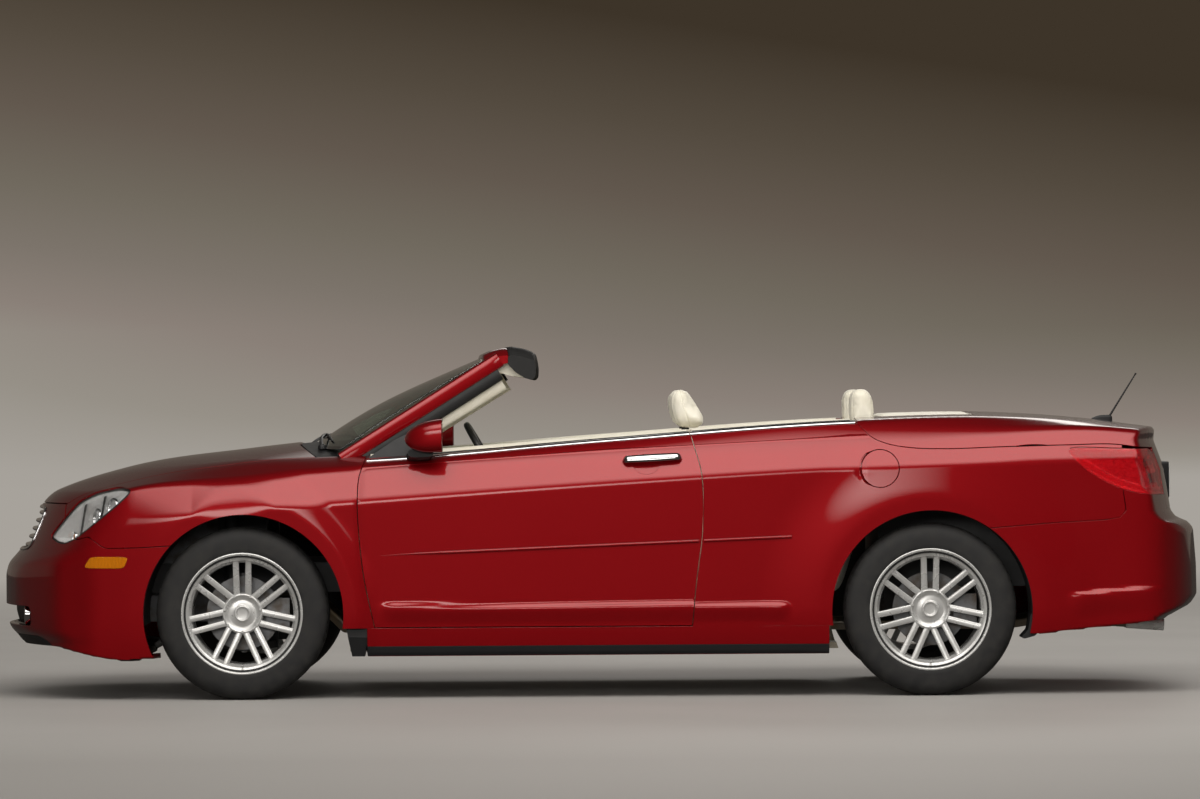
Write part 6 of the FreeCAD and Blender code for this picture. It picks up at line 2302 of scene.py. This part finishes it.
def blown_up(piece, voxel, cap):
    """Remesh, inflate as cloth for 20 frames without gravity, cap the movement, subdivide."""
    remesh = piece.modifiers.new("remesh", "REMESH")
    remesh.mode, remesh.voxel_size = "VOXEL", voxel * MM
    apply_modifiers(piece)
    before = vertices(piece)
    cloth = piece.modifiers.new("cloth", "CLOTH")
    cloth.settings.use_pressure = True
    cloth.settings.uniform_pressure_force = 4.0
    cloth.settings.effector_weights.gravity = 0.0
    cloth.settings.quality = 5
    cloth.point_cache.frame_start, cloth.point_cache.frame_end = 1, 20
    for frame_number in range(1, 21):
        bpy.context.scene.frame_set(frame_number)
    apply_modifiers(piece)
    move = vertices(piece) - before
    length = np.linalg.norm(move, axis=1, keepdims=True)
    move *= np.minimum(1, cap * MM / np.maximum(length, 1e-9))
    move_vertices(piece, before + move)
    bpy.context.scene.frame_set(1)
    smooth = piece.modifiers.new("smooth", "SMOOTH")
    smooth.factor, smooth.iterations = 0.5, 4
    subdivision = piece.modifiers.new("subdivision", "SUBSURF")
    subdivision.levels = subdivision.render_levels = 1
    apply_modifiers(piece)
    return piece


def seamed(piece, relief):
    """Moves each point along its normal by relief(points, normals) in mm, then thins the mesh.

    The last step drops triangles where the surface is nearly flat, down to a share of them.
    """
    points = vertices(piece)
    normals = np.empty(points.size)
    piece.data.vertices.foreach_get("normal", normals)
    normals = normals.reshape(-1, 3)
    move_vertices(piece, points + normals * (relief(points / MM, normals) * MM)[:, None])
    piece.data.update()
    piece.modifiers.new("fewer_triangles", "DECIMATE").ratio = 0.16
    apply_modifiers(piece)
    return piece


def groove(distance, width, depth):
    """A sewn line: a valley of a width and depth where distance is zero."""
    return -depth * np.exp(-(distance / width) ** 2)


def pad_object(name, rings, voxel, cap):
    """A cushion's start form, remeshed and blown up."""
    return blown_up(capped_tube(name, rings), voxel, cap)


def copied(piece, name, shift_y, mirror):
    """A copy of a pad, moved across the car, and mirrored first where asked."""
    copy = piece.copy()
    copy.data = piece.data.copy()
    copy.name = copy.data.name = name
    points = vertices(piece) * (1, -1 if mirror else 1, 1)
    move_vertices(copy, points + (0, shift_y * MM, 0))
    if mirror:
        copy.data.flip_normals()
    bpy.context.scene.collection.objects.link(copy)
    return copy


def discard(piece):
    mesh = piece.data
    bpy.data.objects.remove(piece)
    bpy.data.meshes.remove(mesh)


report("cushion forms and simulation")

# %% [markdown]
# ## Front seats
#
# A cushion, a back and a headrest, each from its own closed profile. Functions of the points
# raise the bolsters before the simulation and press the sewn channels after it. Channels that
# are pressed last stay sharp.

# %% Front seats
def seat_side(points):
    """Distance from the seat's own middle plane."""
    return np.abs(points[..., 1])


def cushion_shape(rings):
    """Bolsters rise at both sides and the seat sinks a little between them."""
    rings = rings.copy()
    on_top = smooth_step(rings[..., 2], 400, 450)
    side = seat_side(rings)
    rings[..., 2] += on_top * (22 * np.exp(-((side - 196) / 34) ** 2)
                               - 8 * (1 - (side / INSERT_HALF) ** 2).clip(0))
    return rings


def back_shape(rings):
    """The back narrows towards its shoulders, and its bolsters come forward."""
    rings = rings.copy()
    height = rings[..., 2]
    rings[..., 1] *= (1 - 0.20 * smooth_step(height, 760, 1080)
                      - 0.05 * smooth_step(height, 600, 360))
    side = seat_side(rings)
    line = np.interp(height, (330, 470, 1060), (60, 120, 290))
    in_front = smooth_step(line + 60 - rings[..., 0], 0, 50)
    bolster = 30 * np.exp(-((side - 190) / 36) ** 2) * smooth_step(height, 980, 820)
    rings[..., 0] -= in_front * (bolster - 10 * (1 - (side / 150) ** 2).clip(0))
    rings[..., 2] -= 16 * (side / SEAT_HALF) ** 4 * smooth_step(height, 900, 1080)
    return rings


def cushion_seams(p, n):
    side = seat_side(p)
    on_top = smooth_step(n[:, 2], 0.2, 0.6)
    ribs = np.minimum.reduce([np.abs(p[:, 0] - x) for x in (-240, -165, -90, -15, 60)])
    inner = smooth_step(INSERT_HALF - side, 2, 14)
    return (on_top * (groove(side - INSERT_HALF, 5, 6) + inner * groove(ribs, 6, 5))
            + groove(p[:, 2] - 392, 5, 4) * (1 - on_top))


def back_seams(p, n):
    side = seat_side(p)
    in_front = smooth_step(-n[:, 0], 0.2, 0.6)
    seam = INSERT_HALF - 20 * smooth_step(p[:, 2], 760, 1080)
    ribs = np.minimum.reduce([np.abs(p[:, 2] - z) for z in (520, 595, 670, 745, 820, 895)])
    inner = smooth_step(seam - side, 2, 14) * smooth_step(940 - p[:, 2], 0, 20)
    return (in_front * (groove(side - seam, 5, 6) + inner * groove(ribs, 6, 5)
                        + groove(p[:, 2] - 950, 5, 6) * smooth_step(seam - side, -2, 4))
            + groove(p[:, 0] - np.interp(p[:, 2], (330, 1085), (215, 372)), 5, 4)
            * (1 - in_front))


def headrest_seams(p, n):
    line = np.interp(p[:, 2], (1086, 1232), (368, 326))
    return (groove(p[:, 0] - line, 4, 3.5)
            + groove(seat_side(p) - 98, 4, 3) * smooth_step(-n[:, 0], 0.3, 0.6))


CUSHION = loop(((-318, 350), (-332, 430), (-300, 478), (-60, 466), (150, 446), (188, 420),
                (190, 352)), 30.0, 6)
BACK = loop(((76, 360), (130, 480), (294, 1040), (330, 1070), (388, 1064), (404, 1030),
             (300, 372)), 30.0, 6)
HEADREST = loop(((334, 1086), (312, 1100), (296, 1170), (298, 1220), (318, 1242), (346, 1236),
                 (382, 1184), (420, 1120), (430, 1094), (412, 1086)), 14.0, 5)
cushion = seamed(pad_object("cushion", cushion_shape(
    pillow_rings(CUSHION, SEAT_HALF - 8, 60)), 10, 16), cushion_seams)
back = seamed(pad_object("back", back_shape(pillow_rings(BACK, SEAT_HALF - 8, 56)), 10, 14),
              back_seams)
headrest = seamed(pad_object("headrest", pillow_rings(HEADREST, 120, 40, 30), 6, 7),
                  headrest_seams)
SEAT_PADS = (("seat_cushion_", cushion), ("seat_back_", back), ("headrest_", headrest))
for name, side in SIDES:
    for stem, source in SEAT_PADS:
        pad = copied(source, stem + name, SEAT_Y * SIGN[side], side == 1)
        settle(pad, LEATHER, replaces=["front_seats"])
for stem, source in SEAT_PADS:
    discard(source)
report("front seats")

# %% [markdown]
# ## Console lid
#
# The padded lid between the seats is made like a small cushion, with one seam near each
# side.

# %% Console lid
LID = loop(((66, 558), (62, 588), (84, 604), (340, 606), (368, 592), (374, 558)), 16.0, 5)
lid = seamed(pad_object("console_lid", pillow_rings(LID, 98, 30, 34), 6, 6),
             lambda p, n: groove(np.abs(p[:, 1]) - 74, 4, 3) * smooth_step(n[:, 2], 0.3, 0.7))
settle(lid, LEATHER)
report("console lid")

# %% [markdown]
# ## What carries the seats
#
# Posts, rails, a frame, a moulded shell behind the backrest, a lever and a buckle. They are
# rigid, so they are plain rounded boxes and tubes with no simulation.

# %% Front seats' hard parts
for name, side in SIDES:
    middle = SEAT_Y * SIGN[side]
    for k, offset in enumerate((-60.0, 60.0)):
        rings = np.stack([xyz(352 + 6 * cos_s, middle + offset + 6 * sin_s, z)
                          for z in (1052, 1085, 1118)])
        swept(f"headrest_post_{name}_{k + 1}", rings, CHROME)
        collar = turned(bent(((7, -3), (15, -3), (15, 3), (11, 6), (7, 6)), 1.5), 28,
                        (352, middle + offset, 1076), axis=2)
        form(f"headrest_collar_{name}_{k + 1}", collar, PLASTIC)
        rail = placed(rounded_box((470, 26, 30), 0.2), (-60, middle + 3.4 * offset, 228))
        form(f"seat_rail_{name}_{k + 1}", rail, STRUCTURE)
        valance = placed(rounded_box((470, 22, 96), 0.28, 30, 60),
                         (-60, middle + 3.9 * offset, 340))
        form(f"seat_valance_{name}_{k + 1}", valance, TRIM_CREAM)
    frame_box = placed(rounded_box((420, 420, 110), 0.14), (-60, middle, 300))
    form("seat_frame_" + name, frame_box, STRUCTURE)
    t = np.linspace(0, 1, 30)
    height = 400 + 620 * t
    rear_x = np.interp(height, (372, 1030), (303, 406)) + 4
    shell_half = 226 * (1 - 0.20 * smooth_step(height, 760, 1080))
    u = np.linspace(-1, 1, 30)
    grid_y = middle + shell_half[:, None] * u
    bulge = 9 * ((1 - np.abs(u) ** 8) * (1 - np.abs(2 * t - 1) ** 14)[:, None]) ** 0.6
    shell = xyz(rear_x[:, None] + bulge, grid_y, height[:, None])
    back_shell = sheet_pair("seat_back_shell_" + name, shell, shell - (16, 0, 0))
    settle(crisp(back_shell, 50), TRIM_CREAM)
    outer = middle + SIGN[side] * 262
    lever = placed(rounded_box((130, 14, 26), 0.5), (40, outer, 372), tilt=-8)
    form("recline_lever_" + name, lever, PLASTIC)
    inner = middle - SIGN[side] * 262
    form("belt_buckle_" + name, placed(rounded_box((34, 14, 66), 0.4), (96, inner, 470), tilt=14),
         PLASTIC)
report("front seats' hard parts")

# %% [markdown]
# ## Rear seat
#
# One bench with two sunk places. It is made like the front seats, and its shape depends on
# the distance from the nearer place.

# %% Rear seat
PLACE_Y = 330.0


def place_side(points):
    """Distance from the middle of the nearer rear place."""
    return np.abs(np.abs(points[..., 1]) - PLACE_Y)


def rear_cushion_shape(rings):
    rings = rings.copy()
    on_top = smooth_step(rings[..., 2], 430, 470)
    rings[..., 2] += on_top * (10 * np.exp(-((place_side(rings) - 205) / 40) ** 2)
                               - 12 * (1 - (place_side(rings) / 170) ** 2).clip(0))
    return rings


def rear_back_shape(rings):
    rings = rings.copy()
    line = np.interp(rings[..., 2], (380, 500, 1085), (800, 860, 1010))
    in_front = smooth_step(line + 50 - rings[..., 0], 0, 50)
    rings[..., 0] += in_front * 14 * (1 - (place_side(rings) / 190) ** 2).clip(0)
    return rings


def rear_cushion_seams(p, n):
    on_top = smooth_step(n[:, 2], 0.2, 0.6)
    ribs = np.minimum.reduce([np.abs(p[:, 0] - x) for x in (610, 685, 760)])
    inner = smooth_step(INSERT_HALF - place_side(p), 2, 14)
    return on_top * (groove(place_side(p) - INSERT_HALF, 6, 6) + inner * groove(ribs, 7, 5))


def rear_back_seams(p, n):
    in_front = smooth_step(-n[:, 0], 0.2, 0.6)
    ribs = np.minimum.reduce([np.abs(p[:, 2] - z) for z in (600, 675, 750, 825, 900)])
    inner = smooth_step(INSERT_HALF - place_side(p), 2, 14) * smooth_step(955 - p[:, 2], 0, 20)
    return in_front * (groove(place_side(p) - INSERT_HALF, 6, 6) + inner * groove(ribs, 7, 5)
                       + groove(p[:, 2] - 965, 6, 6))


REAR_CUSHION = loop(((548, 398), (540, 448), (562, 492), (720, 480), (872, 462), (886, 398)), 26.0,
                    6)
REAR_BACK = loop(((822, 400), (874, 500), (1020, 1056), (1046, 1074), (1108, 1074), (1118, 1040),
                  (1118, 900), (960, 400)), 26.0, 6)
REAR_HEADREST = loop(((1034, 1092), (1032, 1214), (1050, 1233), (1090, 1234), (1112, 1204),
                      (1120, 1092)), 14.0, 5)
for name, profile, voxel, shape, seams in (
        ("rear_cushion", REAR_CUSHION, 12, rear_cushion_shape, rear_cushion_seams),
        ("rear_back", REAR_BACK, 13, rear_back_shape, rear_back_seams)):
    pad = seamed(pad_object(name, shape(pillow_rings(profile, 592, 60, 70)), voxel, 14), seams)
    settle(pad, LEATHER, replaces=["rear_seat"])
rest = pad_object("rear_rest", pillow_rings(REAR_HEADREST, 134, 34, 30), 6, 6)
for name, side in SIDES:
    pad = copied(rest, "rear_headrest_" + name, 350.0 * SIGN[side], side == 1)
    seamed(pad, lambda p, n: groove(np.abs(np.abs(p[:, 1]) - 350) - 108, 4, 3)
           * smooth_step(-n[:, 0], 0.3, 0.6))
    settle(pad, LEATHER, replaces=["rear_seat"])
discard(rest)
report("rear seat")

# %% [markdown]
# ## Studio
#
# One long softbox hangs over the camera's side of the car, so the shoulders shine and the doors
# below the crease stay deep red. Two weaker lamps fill the wheels and the cabin. The floor is
# pale. Far behind the car it takes the backdrop's own tone, so no line shows between the two,
# and it looks darker in reflections, as a studio floor does beyond its lit patch.

# %% Studio
def area(name, place, target, size, energy):
    """A warm softbox that faces its target. It dims over the outer 30% of its sides."""
    lamp = bpy.data.lights.new(name, "AREA")
    lamp.shape = "RECTANGLE"
    lamp.size, lamp.size_y = size
    lamp.energy = energy
    lamp.color = (1.0, 0.96, 0.91)
    lamp.use_nodes = True
    tree = lamp.node_tree
    spot = add_node(tree, "SeparateXYZ", {0: add_node(tree, "NewGeometry").outputs["Parametric"]})
    level = 1.0
    for axis in "XY":
        for edge, inside in ((0.0, 0.3), (1.0, 0.7)):
            level = sums(tree, "MULTIPLY", level, remap(tree, spot.outputs[axis], 0.0, 1.0, edge,
                                                        inside))
    tree.links.new(level, tree.nodes["Emission"].inputs["Strength"])
    holder = linked(name, lamp)
    holder.location = place
    holder.rotation_euler = (Vector(target) - Vector(place)).to_track_quat("-Z", "Y").to_euler()


area("overhead", (0.8, -5.2, 6.2), (0.2, -0.5, 0.6), (15.0, 7.0), 1250)
area("side_fill", (-3, -14, 3.2), (0, 0, 0.5), (12.0, 3.0), 680)
area("rear_fill", (2, 8, 5.0), (0, 0, 0.8), (9.0, 3.0), 240)

# Painted shade: its tone deepens towards the front, where the lamps stand close to it, to hold
# back the extra light they throw there.
FLOOR, tree, shader = finish("floor_pale", "#B0AEAB", 0.6)
where = add_node(tree, "SeparateXYZ", {0: add_node(tree, "TexCoord").outputs["Object"]})
mottle = tones(tree, noise(tree, 900.0, 4.0), (0.3, "#BCBAB7"), (0.7, "#C4C2BF"))
nearer = add_node(tree, "MixRGB", {0: remap(tree, where.outputs["Y"], 0.0, 1.0, 2.0, -5.0),
                                   1: mottle, 2: linear("#8D8B88")})
drive(tree, shader, Base_Color=nearer.outputs[0])
bump(tree, shader, noise(tree, 6.0, 2.0), 0.03)
path = add_node(tree, "LightPath")
far = remap(tree, where.outputs["Y"], 0.0, 1.0, 1.5, 16.0)
haze = add_node(tree, "Emission", {"Color": linear("#A7A29B"), "Strength": 1.0})
dim = add_node(tree, "Emission", {"Color": linear("#3F3B37")})
seen = add_node(tree, "MixShader", {0: sums(tree, "MULTIPLY", far, path.outputs["Is Camera Ray"]),
                                    1: shader.outputs[0], 2: haze.outputs[0]})
shown = add_node(tree, "MixShader", {0: path.outputs["Is Glossy Ray"], 1: seen.outputs[0],
                                     2: dim.outputs[0]})
tree.links.new(shown.outputs[0], tree.nodes["Material Output"].inputs["Surface"])
FLOOR_REACH = 60000.0
floor = make_object("floor", FLOOR_REACH * np.array([(-1, -1, 0), (1, -1, 0), (1, 1, 0),
                                                     (-1, 1, 0)]), [(0, 1, 2, 3)])
floor.data.materials.append(FLOOR)
report("studio")

# %% [markdown]
# ## Backdrop and camera
#
# The backdrop is the world's own colour, because a wall would need lamps of its own. What the
# paint reflects can then differ from what the camera sees. The camera stands 25 m off to the
# side with a long lens, so the car shows almost no perspective.

# %% Backdrop and camera
# The backdrop's tone depends on the direction: it darkens upwards and a little to the right.
world = bpy.data.worlds.new("studio")
bpy.context.scene.world = world
world.use_nodes = True
tree = world.node_tree
way = add_node(tree, "SeparateXYZ", {0: add_node(tree, "TexCoord").outputs["Generated"]})
lean = remap(tree, way.outputs["Z"], 0.0, 0.158, -0.014, 0.012)
level = sums(tree, "MULTIPLY_ADD", way.outputs["X"], lean, way.outputs["Z"])
backdrop = tones(tree, remap(tree, level, 0.0, 1.0, -0.0218, 0.0655),
                 (0.0, "#AAA59E"), (0.10, "#A6A19A"), (0.17, "#969087"), (0.27, "#8A8078"),
                 (0.38, "#7C746B"), (0.50, "#70695E"), (0.65, "#62584E"), (0.80, "#534A3F"),
                 (1.0, "#3D3429"))
path = add_node(tree, "LightPath")
# In reflections the wall behind the car is a broad glow that fades 40 degrees up.
behind = sums(tree, "MULTIPLY", remap(tree, way.outputs["Y"], 0.0, 1.0, 0.0, 0.45),
              remap(tree, way.outputs["Z"], 1.0, 0.0, 0.05, 0.65))
mirrored_wall = add_node(tree, "MixRGB", {0: behind, 1: linear("#363431"), 2: linear("#6E665D")})
ambient = add_node(tree, "MixRGB", {0: path.outputs["Is Glossy Ray"], 1: linear("#8A8783"),
                                    2: mirrored_wall.outputs[0]})
colour = add_node(tree, "MixRGB", {0: path.outputs["Is Camera Ray"], 1: ambient.outputs[0],
                                   2: backdrop})
tree.links.new(colour.outputs[0], tree.nodes["Background"].inputs["Color"])

camera_data = bpy.data.cameras.new("camera")
camera = linked("camera", camera_data)
camera.location = (0.003, -24.692, 1.198)
camera.rotation_euler = (math.radians(90), math.radians(0.38), 0)
camera_data.lens = 177.9
camera_data.clip_end = 200
bpy.context.scene.camera = camera
bpy.context.scene.view_settings.view_transform = "Standard"

pieces = [o for o in bpy.data.objects if o.type == "MESH" and not o.hide_render]
print(len(pieces), "pieces,", sum(len(o.data.loop_triangles) or len(o.data.polygons)
                                  for o in pieces), "faces")
